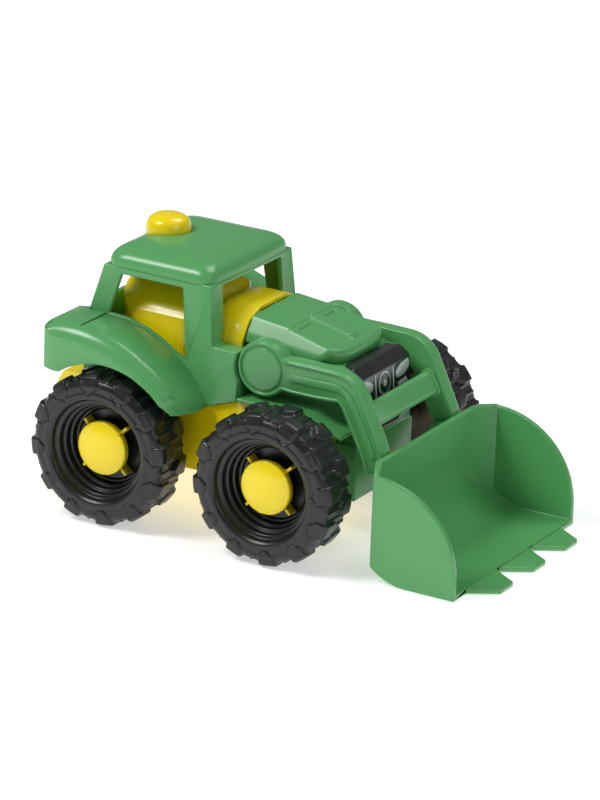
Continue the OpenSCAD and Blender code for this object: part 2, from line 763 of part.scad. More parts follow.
// side outline of an arm: round boss, straight bar, bend and lower leg
module arm_outline() {
    knee_r = bar_top - knee[1];
    d = [cos(leg_a), -sin(leg_a)];
    n = [sin(leg_a), cos(leg_a)];
    front = knee + n * knee_r;
    back = front - n * leg_w;
    front_l = (front[1] - bucket_h - 1.8) / sin(leg_a);
    back_l = (back[1] - pin_z - 2) / sin(leg_a);
    translate([pivot_x, pivot_z]) circle(r = boss_r);
    polygon([[pivot_x, bar_bot], [pivot_x, bar_top], [knee[0], bar_top], [knee[0], bar_bot]]);
    intersection() {
        translate(knee) circle(r = knee_r);
        polygon([knee - [1, 0], [knee[0] - 1, bar_top + 5], knee + [40, 40], front + n * 5, front, back, knee]);
    }
    polygon([
        [knee[0] - 1, bar_bot], [knee[0] - 1, bar_bot + 4], front, front + d * front_l,
        [pin_x + arm_end_r, pin_z], [pin_x, pin_z - 1], [pin_x - arm_end_r + 0.2, pin_z + 1], back + d * back_l,
        back + d * 2.4, back + [-2.6, 0.34]
    ]);
    translate([pin_x, pin_z]) circle(r = arm_end_r);
}

// the left arm
module arm_solid() {
    difference() {
        union() {
            prism_y(arm_in, arm_in + arm_t) arm_outline();
            bar_y(pivot_x, pivot_z, boss_r - 2, boss_in, arm_in + 1);
        }
        bar_y(pivot_x, pivot_z, shaft_r + press_gap, boss_in - lap, arm_in + arm_t - 2);
        bar_y(pin_x, pin_z, pin_r + run_gap, arm_in - lap, arm_in + arm_t - 1.6);
        // socket for the end of the crossbar
        crossbar_end(arm_in - lap, arm_in + 3 + press_gap, press_gap);
    }
}

// tongue of the crossbar, grown by g
module crossbar_end(y0, y1, g) {
    translate([bar_mid[0], 0, bar_mid[1]]) rotate([0, leg_a, 0])
        translate([-3 - g, y0, -1.5 - g]) cube([6 + 2 * g, y1 - y0, 3 + 2 * g]);
}

module arm_left() {
    color(green) arm_solid();
}

module arm_right() {
    color(green) mirror([0, 1, 0]) arm_solid();
}

module crossbar() {
    half = arm_in - 0.05;
    color(green) union() {
        translate([bar_mid[0], 0, bar_mid[1]]) rotate([0, leg_a, 0])
            rotate([90, 0, 0]) translate([0, 0, -half]) linear_extrude(height = 2 * half)
                round_rect(-bar_w / 2, -bar_t / 2, bar_w / 2, bar_t / 2, 2.2);
        // collars against the arms
        both_sides() translate([bar_mid[0], half - 2, bar_mid[1]]) rotate([0, leg_a, 0])
            translate([0, 2, 0]) rotate([90, 0, 0]) linear_extrude(height = 2)
                round_rect(-bar_w / 2 - 1, -bar_t / 2 - 1, bar_w / 2 + 1, bar_t / 2 + 1, 2.6);
        both_sides() crossbar_end(half - 1, arm_in + 3, 0);
    }
}

module arm_shaft() {
    end = arm_in + arm_t - 2.2;
    color(steel) bar_y(pivot_x, pivot_z, shaft_r, -end, end);
}

// side outline of the bucket's scoop, drawn in by w: bend, floor and back wall
module scoop_outline(w) {
    c = [bucket_x + bucket_r, bucket_r];
    translate(c) circle(r = bucket_r - w, $fn = 96);
    polygon([c, [c[0], w], [bucket_lip + 30, w], [bucket_lip + 30, bucket_h + 30], [bucket_x + 2.4 + w, bucket_h + 30],
        [bucket_x + 2.4 + w, bucket_h], [bucket_x + w, bucket_r]]);
}

// plan outline of the bucket, with its chamfered back corners, drawn in by w
module scoop_plan(w) {
    half = bucket_half - w;
    polygon([
        [bucket_x - 1 + w, -half + 19], [bucket_x + 8.4 + w * 0.6, -half], [bucket_lip + 60, -half],
        [bucket_lip + 60, half], [bucket_x + 8.4 + w * 0.6, half], [bucket_x - 1 + w, half - 19]
    ]);
}

// front limit of the bucket's sides: a quarter round from the back wall to the lip
module side_limit() {
    c = [fa + 46.8, 8.5];
    r = bucket_lip - c[0];
    scale_z = (bucket_h - 1.6 - c[1]) / r;
    top = [for (a = [0 : 6 : 90]) [c[0] + r * cos(a), c[1] + r * scale_z * sin(a)]];
    polygon(concat([[bucket_x - 5, -1], [bucket_lip, -1], [bucket_lip, c[1]]], top,
        [[bucket_x + 5, bucket_h], [bucket_x - 5, bucket_h]]));
}

module teeth() {
    pitch = (2 * bucket_half + 8) / (tooth_count + 0.97);
    depth = fa + bucket_reach - bucket_lip;
    tip = pitch * 0.38;
    root = pitch * 0.92;
    for (i = [0 : tooth_count - 1]) translate([bucket_lip, (i - (tooth_count - 1) / 2) * pitch, 0])
        linear_extrude(height = bucket_wall - 0.6) polygon([
            [-1, -root / 2], [0, -root / 2], [depth - 0.6, -tip / 2 - 0.5], [depth, -tip / 2 + 0.3],
            [depth, tip / 2 - 0.3], [depth - 0.6, tip / 2 + 0.5], [0, root / 2], [-1, root / 2]
        ]);
}

module bucket() {
    color(green) difference() {
        union() {
            difference() {
                intersection() {
                    prism_y(-bucket_half, bucket_half) scoop_outline(0);
                    linear_extrude(height = 100) scoop_plan(0);
                    prism_y(-bucket_half - 1, bucket_half + 1) side_limit();
                }
                intersection() {
                    prism_y(-bucket_half, bucket_half) scoop_outline(bucket_wall);
                    linear_extrude(height = 100) scoop_plan(bucket_wall);
                }
            }
            teeth();
            both_sides() {
                prism_y(lug_in, lug_in + lug_t) union() {
                    translate([pin_x, pin_z]) circle(r = arm_end_r);
                    polygon([[pin_x, pin_z - arm_end_r], [bucket_x + 2, pin_z - arm_end_r - 3],
                        [bucket_x + 2.6, pin_z + arm_end_r + 2], [pin_x, pin_z + arm_end_r]]);
                }
            }
        }
        both_sides() bar_y(pin_x, pin_z, pin_r + press_gap, lug_in - lap, lug_in + lug_t + lap);
    }
}

module bucket_pins() {
    color(steel) both_sides() bar_y(pin_x, pin_z, pin_r, lug_in, arm_in + arm_t - 1.9);
}

chassis();
battery_door();
door_screw();
battery_cells();
battery_contacts();
speaker();
cab_shell();
front_cowl();
hood();
grille_label();
seat_and_dash();
sound_board();
roof_button();
button_spring();
case_screws();
arm_left();
arm_right();
crossbar();
arm_shaft();
bucket();
bucket_pins();
axle_at(fa);  // front_axle
wheel_at(fa);  // wheel_front_left
mirror([0, 1, 0]) wheel_at(fa);  // wheel_front_right
cap_at(fa);  // cap_front_left
mirror([0, 1, 0]) cap_at(fa);  // cap_front_right
axle_at(ra);  // rear_axle
wheel_at(ra);  // wheel_rear_left
mirror([0, 1, 0]) wheel_at(ra);  // wheel_rear_right
cap_at(ra);  // cap_rear_left
mirror([0, 1, 0]) cap_at(ra);  // cap_rear_right
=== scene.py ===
"""Looks of a preschool toy front loader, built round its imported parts.

X points forward, Y to the driver's left and Z up. Sizes are written in millimetres and become metres
where a mesh is made.
"""

from __future__ import annotations

import logging
import math
from dataclasses import dataclass, field
from enum import Enum

import bmesh
import bpy
import numpy as np
from mathutils import Matrix, Vector


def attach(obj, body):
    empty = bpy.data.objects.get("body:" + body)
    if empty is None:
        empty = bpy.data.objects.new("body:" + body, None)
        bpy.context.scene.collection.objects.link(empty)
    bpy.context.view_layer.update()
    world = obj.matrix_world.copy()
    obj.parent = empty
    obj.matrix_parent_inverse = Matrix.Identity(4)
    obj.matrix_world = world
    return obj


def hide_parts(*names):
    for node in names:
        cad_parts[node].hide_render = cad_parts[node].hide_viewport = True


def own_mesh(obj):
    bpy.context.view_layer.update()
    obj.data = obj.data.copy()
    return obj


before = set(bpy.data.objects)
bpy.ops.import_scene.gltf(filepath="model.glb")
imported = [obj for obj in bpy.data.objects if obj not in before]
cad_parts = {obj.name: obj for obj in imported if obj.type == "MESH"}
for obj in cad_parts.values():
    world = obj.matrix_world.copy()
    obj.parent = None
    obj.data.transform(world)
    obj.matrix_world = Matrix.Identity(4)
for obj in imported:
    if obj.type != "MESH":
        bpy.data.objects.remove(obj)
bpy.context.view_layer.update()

logging.basicConfig(level=logging.INFO, format="%(message)s")
log = logging.getLogger("loader")

MM = 0.001
TURN = 2 * math.pi
Array = np.ndarray
Shape = tuple[Array, list]
Colour = tuple[float, float, float]


class Body(Enum):
    """The bodies that move as one."""

    CHASSIS = "chassis"
    BUTTON = "button"
    LOADER = "loader_frame"
    BUCKET = "bucket"
    FRONT = "front_wheels"
    REAR = "rear_wheels"


class Side(Enum):
    """The driver's left is +Y."""

    LEFT = 1
    RIGHT = -1


# ---- finishes ----

COAT_ROUGH = 0.12
PLASTIC_IOR = 1.49
# Waves in a metre, and the part of the noise that shows.
DRIFT_WAVES, DRIFT_SPAN = 38, (0.35, 0.7)
SCUFF_WAVES, SCUFF_SPAN = 170, (0.3, 0.75)
# How sharp an edge is where the painted highlight on edges begins and where it is full, and how much of the
# paler edge colour comes in.
EDGE_HIGHLIGHT_SPAN, EDGE_HIGHLIGHT_SHARE = (0.53, 0.66), (0, 0.4)
GRAIN_STRENGTH = 0.35
# Drawn lines are long along X and fine across it, and their troughs are darker.
DRAWN_WAVES, DRAWN_DARK = (60, 1400, 1400), 0.72


@dataclass(frozen=True)
class Plastic:
    """A moulded plastic: colour drift, a fine grain, soft scuffs and paler sharp edges that are a painted
    highlight.

    Attributes:
        name: name of the material.
        colour: main colour, linear.
        drift: colour of the paler or darker areas it drifts to.
        edge: paler colour painted on sharp edges as a highlight.
        rough: lowest and highest roughness.
        grain: size in millimetres of the relief of the grain.
        grain_scale: waves of grain in a metre.
        coat: share of clear gloss over it.
        shine: strength of its own mirror reflection.
    """

    name: str
    colour: Colour
    drift: Colour
    edge: Colour
    rough: tuple[float, float] = (0.2, 0.34)
    grain: float = 0.03
    grain_scale: float = 900.0
    coat: float = 0.25
    shine: float = 0.5

    def material(self) -> bpy.types.Material:
        """Makes the node material, or finds it if it is made already.

        Returns:
            The material.
        """
        if self.name in bpy.data.materials:
            return bpy.data.materials[self.name]
        made = bpy.data.materials.new(self.name)
        made.use_nodes = True
        tree = made.node_tree
        shader = tree.nodes["Principled BSDF"]
        shader.inputs["Coat Weight"].default_value = self.coat
        shader.inputs["Coat Roughness"].default_value = COAT_ROUGH
        shader.inputs["IOR"].default_value = PLASTIC_IOR
        shader.inputs["Specular IOR Level"].default_value = self.shine
        place = tree.nodes.new("ShaderNodeTexCoord")

        def noise(scale: float, detail: float) -> bpy.types.NodeSocket:
            """Makes a noise on the piece's own coordinates.

            Args:
                scale: waves in a metre.
                detail: finer layers that are added.

            Returns:
                The noise's value.
            """
            node = tree.nodes.new("ShaderNodeTexNoise")
            node.inputs["Scale"].default_value = scale
            node.inputs["Detail"].default_value = detail
            tree.links.new(place.outputs["Object"], node.inputs["Vector"])
            return node.outputs["Fac"]

        def spread(
            value: bpy.types.NodeSocket, span: tuple[float, float], to: tuple[float, float]
        ) -> bpy.types.NodeSocket:
            """Maps one range of values on to another.

            Args:
                value: the value.
                span: its low and high ends.
                to: what those two ends become.

            Returns:
                The mapped value.
            """
            node = tree.nodes.new("ShaderNodeMapRange")
            node.inputs["From Min"].default_value = span[0]
            node.inputs["From Max"].default_value = span[1]
            node.inputs["To Min"].default_value = to[0]
            node.inputs["To Max"].default_value = to[1]
            tree.links.new(value, node.inputs["Value"])
            return node.outputs["Result"]

        def mixed(
            share: bpy.types.NodeSocket, first: bpy.types.NodeSocket | Colour, second: Colour
        ) -> bpy.types.NodeSocket:
            """Mixes two colours.

            Args:
                share: how much of the second colour there is.
                first: a colour, or the socket of one.
                second: the other colour.

            Returns:
                The mixed colour.
            """
            node = tree.nodes.new("ShaderNodeMix")
            node.data_type = "RGBA"
            tree.links.new(share, node.inputs["Factor"])
            if isinstance(first, bpy.types.NodeSocket):
                tree.links.new(first, node.inputs["A"])
            else:
                node.inputs["A"].default_value = (*first, 1)
            node.inputs["B"].default_value = (*second, 1)
            return node.outputs["Result"]

        tone = mixed(spread(noise(DRIFT_WAVES, 3), DRIFT_SPAN, (0, 1)), self.colour, self.drift)
        geometry = tree.nodes.new("ShaderNodeNewGeometry")
        # Sharp convex edges are mixed towards the paler edge colour: a painted highlight.
        painted_edge_highlight = spread(geometry.outputs["Pointiness"], EDGE_HIGHLIGHT_SPAN, EDGE_HIGHLIGHT_SHARE)
        tree.links.new(mixed(painted_edge_highlight, tone, self.edge), shader.inputs["Base Color"])
        tree.links.new(spread(noise(SCUFF_WAVES, 5), SCUFF_SPAN, self.rough), shader.inputs["Roughness"])
        bump = tree.nodes.new("ShaderNodeBump")
        bump.inputs["Strength"].default_value = GRAIN_STRENGTH
        bump.inputs["Distance"].default_value = self.grain * MM
        tree.links.new(noise(self.grain_scale, 4), bump.inputs["Height"])
        tree.links.new(bump.outputs["Normal"], shader.inputs["Normal"])
        return made


@dataclass(frozen=True)
class Metal:
    """A bright drawn or plated metal with a fine drawn line along X.

    Attributes:
        name: name of the material.
        colour: colour of the metal, linear.
        rough: lowest and highest roughness.
    """

    name: str
    colour: Colour
    rough: tuple[float, float] = (0.22, 0.42)

    def material(self) -> bpy.types.Material:
        """Makes the node material, or finds it if it is made already.

        Returns:
            The material.
        """
        if self.name in bpy.data.materials:
            return bpy.data.materials[self.name]
        made = bpy.data.materials.new(self.name)
        made.use_nodes = True
        tree = made.node_tree
        shader = tree.nodes["Principled BSDF"]
        shader.inputs["Metallic"].default_value = 1.0
        place = tree.nodes.new("ShaderNodeTexCoord")
        turn = tree.nodes.new("ShaderNodeMapping")
        turn.inputs["Scale"].default_value = DRAWN_WAVES
        lines = tree.nodes.new("ShaderNodeTexNoise")
        lines.inputs["Scale"].default_value = 1.0
        lines.inputs["Detail"].default_value = 4
        ramp = tree.nodes.new("ShaderNodeValToRGB")
        dark = tuple(DRAWN_DARK * c for c in self.colour)
        ramp.color_ramp.elements[0].color = (*dark, 1)
        ramp.color_ramp.elements[1].color = (*self.colour, 1)
        rough = tree.nodes.new("ShaderNodeMapRange")
        rough.inputs["To Min"].default_value = self.rough[0]
        rough.inputs["To Max"].default_value = self.rough[1]
        tree.links.new(place.outputs["Object"], turn.inputs["Vector"])
        tree.links.new(turn.outputs["Vector"], lines.inputs["Vector"])
        tree.links.new(lines.outputs["Fac"], ramp.inputs["Fac"])
        tree.links.new(lines.outputs["Fac"], rough.inputs["Value"])
        tree.links.new(ramp.outputs["Color"], shader.inputs["Base Color"])
        tree.links.new(rough.outputs["Result"], shader.inputs["Roughness"])
        return made


GREEN = Plastic(
    "green_body", (0.012, 0.118, 0.001), drift=(0.016, 0.14, 0.002), edge=(0.03, 0.19, 0.01),
    rough=(0.1, 0.2), coat=0.06, shine=0.42,
)
YELLOW = Plastic(
    "yellow_body", (0.97, 0.74, 0.002), drift=(1.0, 0.79, 0.004), edge=(1.0, 0.84, 0.04), rough=(0.16, 0.28),
)
BLACK = Plastic(
    "wheel_black", (0.0075, 0.0078, 0.0085), drift=(0.012, 0.0124, 0.013), edge=(0.03, 0.03, 0.032),
    rough=(0.26, 0.42), grain=0.05, grain_scale=700.0, coat=0.08,
)
INK = Plastic(
    "label_ink", (0.012, 0.012, 0.014), drift=(0.018, 0.018, 0.02), edge=(0.03, 0.03, 0.03),
    rough=(0.2, 0.3), grain=0.01, grain_scale=1500.0, coat=0.4,
)
SILVER = Plastic(
    "label_silver", (0.42, 0.44, 0.46), drift=(0.52, 0.54, 0.55), edge=(0.6, 0.6, 0.6),
    rough=(0.22, 0.34), grain=0.01, grain_scale=1500.0, coat=0.4,
)
BOARD = Plastic(
    "board_green", (0.01, 0.09, 0.05), drift=(0.02, 0.13, 0.07), edge=(0.1, 0.2, 0.12),
    rough=(0.3, 0.5), grain=0.04, grain_scale=1100.0, coat=0.1,
)
TRIM = Plastic(
    "speaker_trim", (0.02, 0.02, 0.02), drift=(0.04, 0.04, 0.04), edge=(0.1, 0.1, 0.1),
    rough=(0.45, 0.65), grain=0.08, grain_scale=800.0, coat=0.0,
)
STEEL = Metal("steel_rod", (0.66, 0.67, 0.69))
CELL = Metal("cell_can", (0.74, 0.73, 0.70), (0.14, 0.3))
Finish = Plastic | Metal


# ---- meshes ----

# Most of a side that a rounded corner may use up.
SIDE_SHARE = 0.45
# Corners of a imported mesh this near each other, in millimetres, are one corner.
WELD = 0.004
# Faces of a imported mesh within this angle, in degrees, become one face.
COPLANAR = 1.5


def put_in_scene(name: str, data: bpy.types.ID) -> bpy.types.Object:
    """Makes an object that shows a mesh, light or camera.

    Args:
        name: name of the object.
        data: what it shows.

    Returns:
        The object.
    """
    made = bpy.data.objects.new(name, data)
    bpy.context.scene.collection.objects.link(made)
    return made


def make_mesh(
    name: str, points: Array, faces: list, body: Body, finish: Finish, slot: str, nodes: tuple[str, ...]
) -> bpy.types.Object:
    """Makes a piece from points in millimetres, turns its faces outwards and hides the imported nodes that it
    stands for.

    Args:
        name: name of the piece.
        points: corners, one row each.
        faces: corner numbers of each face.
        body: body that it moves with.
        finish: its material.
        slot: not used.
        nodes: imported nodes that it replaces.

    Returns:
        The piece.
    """
    mesh = bpy.data.meshes.new(name)
    mesh.from_pydata((np.asarray(points, float) * MM).tolist(), [], faces)
    mesh.validate()
    work = bmesh.new()
    work.from_mesh(mesh)
    bmesh.ops.recalc_face_normals(work, faces=work.faces)
    work.to_mesh(mesh)
    work.free()
    mesh.polygons.foreach_set("use_smooth", np.ones(len(mesh.polygons), bool))
    return dress(put_in_scene(name, mesh), body, finish, nodes)


def dress(
    piece: bpy.types.Object, body: Body, finish: Finish, nodes: tuple[str, ...]
) -> bpy.types.Object:
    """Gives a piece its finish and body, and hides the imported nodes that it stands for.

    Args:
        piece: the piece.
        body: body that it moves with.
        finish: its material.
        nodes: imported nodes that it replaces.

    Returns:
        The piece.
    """
    piece.data.materials.clear()
    piece.data.materials.append(finish.material())
    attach(piece, body.value)
    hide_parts(*nodes)
    log.info("%s: %d faces", piece.name, len(piece.data.polygons))
    return piece


def reverse(faces: list) -> list:
    """The faces, each with its corners in the opposite order."""
    return [face[::-1] for face in faces]


def circle(count: int) -> Array:
    """Points round a circle of radius 1, at (cos a, sin a)."""
    a = np.arange(count) / count * TURN
    return np.stack([np.cos(a), np.sin(a)], axis=1)


def fillet(corners: Array, radius: Array | float, steps: int = 4) -> Array:
    """Rounds each corner of a closed outline.

    Each corner P becomes a curve (1-t)^2 A + 2t(1-t) P + t^2 B. A and B lie on its two sides, radius away
    from it but never past 0.45 of the side.

    Args:
        corners: the outline's corners, one row each.
        radius: one distance, or one for each corner.
        steps: points on each curve.

    Returns:
        The rounded outline.
    """
    before, after = np.roll(corners, 1, axis=0), np.roll(corners, -1, axis=0)
    back, on = before - corners, after - corners
    back_l = np.linalg.norm(back, axis=1, keepdims=True)
    on_l = np.linalg.norm(on, axis=1, keepdims=True)
    reach = np.broadcast_to(np.asarray(radius, float).reshape(-1, 1), back_l.shape)
    a = corners + back / back_l * np.minimum(reach, SIDE_SHARE * back_l)
    b = corners + on / on_l * np.minimum(reach, SIDE_SHARE * on_l)
    t = np.linspace(0, 1, steps)[None, :, None]
    curve = (1 - t) ** 2 * a[:, None] + 2 * t * (1 - t) * corners[:, None] + t**2 * b[:, None]
    return curve.reshape(-1, corners.shape[1])


def resample(outline: Array, step: float) -> Array:
    """Adds points along a closed outline so that none are further apart than step.

    The points lie on the straight sides, at equal shares of each.

    Args:
        outline: closed outline, one row a point.
        step: largest spacing.

    Returns:
        The outline with the added points.
    """
    after = np.roll(outline, -1, axis=0)
    counts = np.maximum(1, np.ceil(np.linalg.norm(after - outline, axis=1) / step)).astype(int)
    index = np.repeat(np.arange(len(outline)), counts)
    first = np.repeat(np.cumsum(counts) - counts, counts)
    share = (np.arange(counts.sum()) - first) / np.repeat(counts, counts)
    return outline[index] + (after - outline)[index] * share[:, None]


def grid_faces(rows: int, columns: int, wrap_rows: bool, wrap_columns: bool) -> list:
    """Faces of a grid of points that are numbered row by row.

    Args:
        rows: rows of the grid.
        columns: columns of the grid.
        wrap_rows: whether the last row joins the first.
        wrap_columns: whether the last column joins the first.

    Returns:
        Four corner numbers for each face.
    """
    r = np.arange(rows if wrap_rows else rows - 1)[:, None]
    c = np.arange(columns if wrap_columns else columns - 1)[None, :]
    r2, c2 = (r + 1) % rows, (c + 1) % columns
    quads = np.stack([r * columns + c, r * columns + c2, r2 * columns + c2, r2 * columns + c], axis=-1)
    return quads.reshape(-1, 4).tolist()


def outward(outline: Array) -> Array:
    """Unit normals of a closed outline that runs anticlockwise, each across its two neighbours.

    Args:
        outline: the outline, one row a point.

    Returns:
        The normal at each point.
    """
    along = np.roll(outline, -1, axis=0) - np.roll(outline, 1, axis=0)
    along /= np.maximum(np.linalg.norm(along, axis=1, keepdims=True), 1e-9)
    return np.stack([along[:, 1], -along[:, 0]], axis=1)


def anticlockwise(outline: Array) -> Array:
    """Turns an outline round if its area comes out negative.

    Args:
        outline: closed outline, one row a point.

    Returns:
        The outline, running anticlockwise.
    """
    x, y = outline.T
    area = np.sum(x * np.roll(y, -1) - np.roll(x, -1) * y)
    return outline if area > 0 else outline[::-1]


def slab(outline: Array, low: float, high: float, edge: float, steps: int = 4) -> Shape:
    """A plate with rounded edges.

    It is made of rings of the outline. Each is drawn in by edge*(1-cos a), and lies edge*(1-sin a) from the
    nearer face.

    Args:
        outline: closed outline in the plate's plane.
        low: one face of the plate.
        high: its other face.
        edge: radius of the edges.
        steps: rings on each edge.

    Returns:
        Points (in plane, in plane, height) and faces.
    """
    outline = anticlockwise(outline)
    a = np.linspace(0, math.pi / 2, steps)
    inset = edge * (1 - np.cos(a))
    rise = edge * np.sin(a)
    heights = np.concatenate([(low + edge - rise)[::-1], high - edge + rise])
    insets = np.concatenate([inset[::-1], inset])
    plane = outline[None] - outward(outline)[None] * insets[:, None, None]
    level = np.broadcast_to(heights[:, None, None], (*plane.shape[:2], 1))
    points = np.concatenate([plane, level], axis=2).reshape(-1, 3)
    n = len(outline)
    faces = grid_faces(len(heights), n, False, True)
    faces.append(list(range(n))[::-1])
    faces.append(list(range((len(heights) - 1) * n, len(heights) * n)))
    return points, faces


def joined(*shapes: Shape) -> Shape:
    """Puts shapes together.

    Args:
        shapes: points and faces of each.

    Returns:
        One list of points and one of faces.
    """
    starts = np.cumsum([0] + [len(points) for points, _ in shapes])
    faces = [[start + i for i in face] for start, (_, part) in zip(starts, shapes) for face in part]
    return np.concatenate([points for points, _ in shapes]), faces


def on_side(shape: Shape, side: Side) -> Shape:
    """Takes a plate drawn in (X, Z, height) to (X, Y, Z), with its height as distance from the middle.

    Args:
        shape: points and faces.
        side: side of the vehicle that it goes to.

    Returns:
        Points and faces.
    """
    points, faces = shape
    placed = np.stack([points[:, 0], side.value * points[:, 2], points[:, 1]], axis=1)
    return placed, reverse(faces) if side is Side.LEFT else faces


def soften(low: float, high: float, value: Array) -> Array:
    """0 below low, 1 above high and 3t^2-2t^3 between them."""
    t = np.clip((value - low) / (high - low), 0, 1)
    return t * t * (3 - 2 * t)


def moulded_copy(
    name: str, node: str, body: Body, finish: Finish, edge: float, below: float | None = None,
    flat: float = 32.0
) -> bpy.types.Object:
    """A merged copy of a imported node, with its edges rounded.

    Args:
        name: name of the piece.
        node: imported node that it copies.
        body: body that it moves with.
        finish: its material.
        edge: width of the rounding in millimetres.
        below: height that it is cut off at, where another piece takes over.
        flat: angle in degrees above which an edge is rounded.

    Returns:
        The piece.
    """
    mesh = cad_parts[node].data.copy()
    mesh.name = name
    work = bmesh.new()
    work.from_mesh(mesh)
    bmesh.ops.remove_doubles(work, verts=work.verts, dist=WELD * MM)
    if below is not None:
        sliced = bmesh.ops.bisect_plane(
            work, geom=[*work.verts, *work.edges, *work.faces],
            plane_co=(0, 0, below * MM), plane_no=(0, 0, 1), clear_outer=True,
        )
        rim = [part for part in sliced["geom_cut"] if isinstance(part, bmesh.types.BMEdge)]
        bmesh.ops.triangle_fill(work, use_beauty=True, edges=rim)
        bmesh.ops.remove_doubles(work, verts=work.verts, dist=WELD * MM)
    bmesh.ops.dissolve_limit(
        work, angle_limit=math.radians(COPLANAR), use_dissolve_boundaries=False,
        verts=work.verts, edges=work.edges,
    )
    work.to_mesh(mesh)
    work.free()
    mesh.polygons.foreach_set("use_smooth", np.ones(len(mesh.polygons), bool))
    piece = put_in_scene(name, mesh)
    if edge > 0:
        bevel = piece.modifiers.new("edges", "BEVEL")
        bevel.width = edge * MM
        bevel.segments = 3
        bevel.limit_method = "ANGLE"
        bevel.angle_limit = math.radians(flat)
        bevel.use_clamp_overlap = False
        bevel.miter_outer = "MITER_ARC"
        bevel.harden_normals = True
    return dress(piece, body, finish, (node,))


# ---- the toy's own sizes ----

# Between the axles, from the rear axle to the tail, and from the front axle to the teeth.
WHEELBASE, TAIL, REACH = 79.0, 44.0, 96.5
REAR_X = -(TAIL + WHEELBASE + REACH) / 2 + TAIL
FRONT_X = REAR_X + WHEELBASE
# Radius and width of a wheel, and how far its outer face is from the middle.
WHEEL_R, WHEEL_W, WHEEL_OUT = 33.0, 22.4, 66.5
# X and Z of the line that the arms turn on.
PIVOT = (FRONT_X - 19.2, 72.5)
# X of the push dome, and height of the end of its spring that stays put.
BUTTON_X, SPRING_FOOT = REAR_X - 7.3, 96.0


@dataclass
class Wheel:
    """A hollow moulded wheel: lugs on both shoulders, grooves round them on its sides and a stepped dish.

    Attributes:
        x: place of the axle.
        side: side of the vehicle.
        body: body that it turns with.
        node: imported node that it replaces.
        lugs: how many there are on each shoulder.
        lug_h: how far a lug stands up from the tread.
        lug_half: half its width.
        tread_point: how far its point is from the shoulder, on the tread.
        tread_slope: slope of that point, and the length that makes distances from it true.
        tread_from: radii between which the tread begins.
        wall_point: radius of its point on the side.
        wall_slope: the same two numbers for that point.
        wall_from: radii between which the lugs begin on the side.
        groove: depth of the line round a lug on the side.
        pad: how far the lug is raised inside that line.
        rib_h: height of the fine ribs across the tread.
        turns: steps round the axle.
    """

    x: float
    side: Side
    body: Body
    node: str
    lugs: int = 12
    lug_h: float = 1.8
    lug_half: float = 3.9
    tread_point: float = 12.6
    tread_slope: tuple[float, float] = (0.95, 1.38)
    tread_from: tuple[float, float] = (28.6, 30.6)
    wall_point: float = 24.6
    wall_slope: tuple[float, float] = (0.8, 1.28)
    wall_from: tuple[float, float] = (23.6, 24.4)
    groove: float = 0.42
    pad: float = 0.26
    rib_h: float = 0.55
    turns: int = 480

    def profile(self) -> Array:
        """Closed profile of (radius, depth from the outer face), from the hub round the tread and back.

        Returns:
            The profile, one row a point.
        """
        w = WHEEL_W
        outer = [
            [2.05, 8.6], [6.0, 8.6], [6.0, 13.3], [15.2, 13.5], [15.6, 12.4], [16.6, 12.3], [17.0, 9.9],
            [18.0, 9.7], [18.4, 6.9], [19.4, 6.7], [19.8, 3.8], [21.4, 3.4], [21.9, 1.1], [22.8, 0.25],
            [23.4, 0.0], [25.0, 0.0], [25.6, 0.3], [26.4, 0.3], [28.4, 0.35], [30.2, 1.3], [31.2, 3.2],
        ]
        inner = [
            [31.2, w - 3.2], [30.2, w - 1.3], [28.4, w - 0.35], [24.0, w], [22.8, w], [21.8, w - 4.2],
            [10.0, w - 6.3], [6.0, w - 6.1], [6.0, w], [2.05, w],
        ]
        rounded = fillet(np.array(outer + inner), 0.35, 3)
        return resample(rounded, 1.05)

    def build(self) -> bpy.types.Object:
        """Raises the lugs on the turned profile.

        On the tread a lug is a house shape: |t| < half and |t|*slope + d < its point, with t along the tread
        and d from the near shoulder. Its height is a smooth step of the distance inside that outline. On the
        side the same house points to the hub, and a groove follows its outline.

        Returns:
            The wheel.
        """
        r, d = anticlockwise(self.profile()).T
        a = (np.arange(self.turns) / self.turns)[:, None]
        pitch = 1 / self.lugs
        radial, axial = np.zeros((self.turns, len(r))), np.zeros((self.turns, len(r)))
        for sign, shift in ((1, 0.25), (-1, -0.25)):
            depth = d if sign > 0 else WHEEL_W - d
            t = ((a / pitch + shift) % 1 - 0.5) * pitch * TURN * np.maximum(r, 20)[None]
            away = np.abs(t)
            slope, length = self.tread_slope
            tread = np.maximum(away - self.lug_half, (away * slope + depth - self.tread_point) / length)
            on_tread = soften(*self.tread_from, r) * (depth < 13)
            radial += self.lug_h * soften(0, 0.55, -tread) * on_tread
            slope, length = self.wall_slope
            wall = np.maximum(away - self.lug_half, (away * slope + self.wall_point - r) / length)
            on_wall = (depth < 2.2) * soften(*self.wall_from, r) * (r < 31)
            axial += sign * self.groove * soften(0.5, 0.05, np.abs(wall + 0.1)) * on_wall
            axial -= sign * self.pad * soften(0.1, 0.5, -wall) * on_wall * (depth > 0.2)
        ribs = soften(0.5, 0.9, np.cos(TURN * a * self.lugs * 4)) * soften(30.4, 31.1, r) * self.rib_h
        radial = np.maximum(radial, ribs)
        rr = r[None] + radial
        x = self.x + rr * np.cos(TURN * a)
        y = self.side.value * (WHEEL_OUT - np.clip(d[None] + axial, 0, WHEEL_W))
        z = WHEEL_R + rr * np.sin(TURN * a)
        points = np.stack([x, y, z], axis=-1).reshape(-1, 3)
        faces = grid_faces(self.turns, len(r), True, True)
        if self.side is Side.RIGHT:
            faces = reverse(faces)
        return make_mesh("visual_" + self.node, points, faces, self.body, BLACK, "black_wheel", (self.node,))


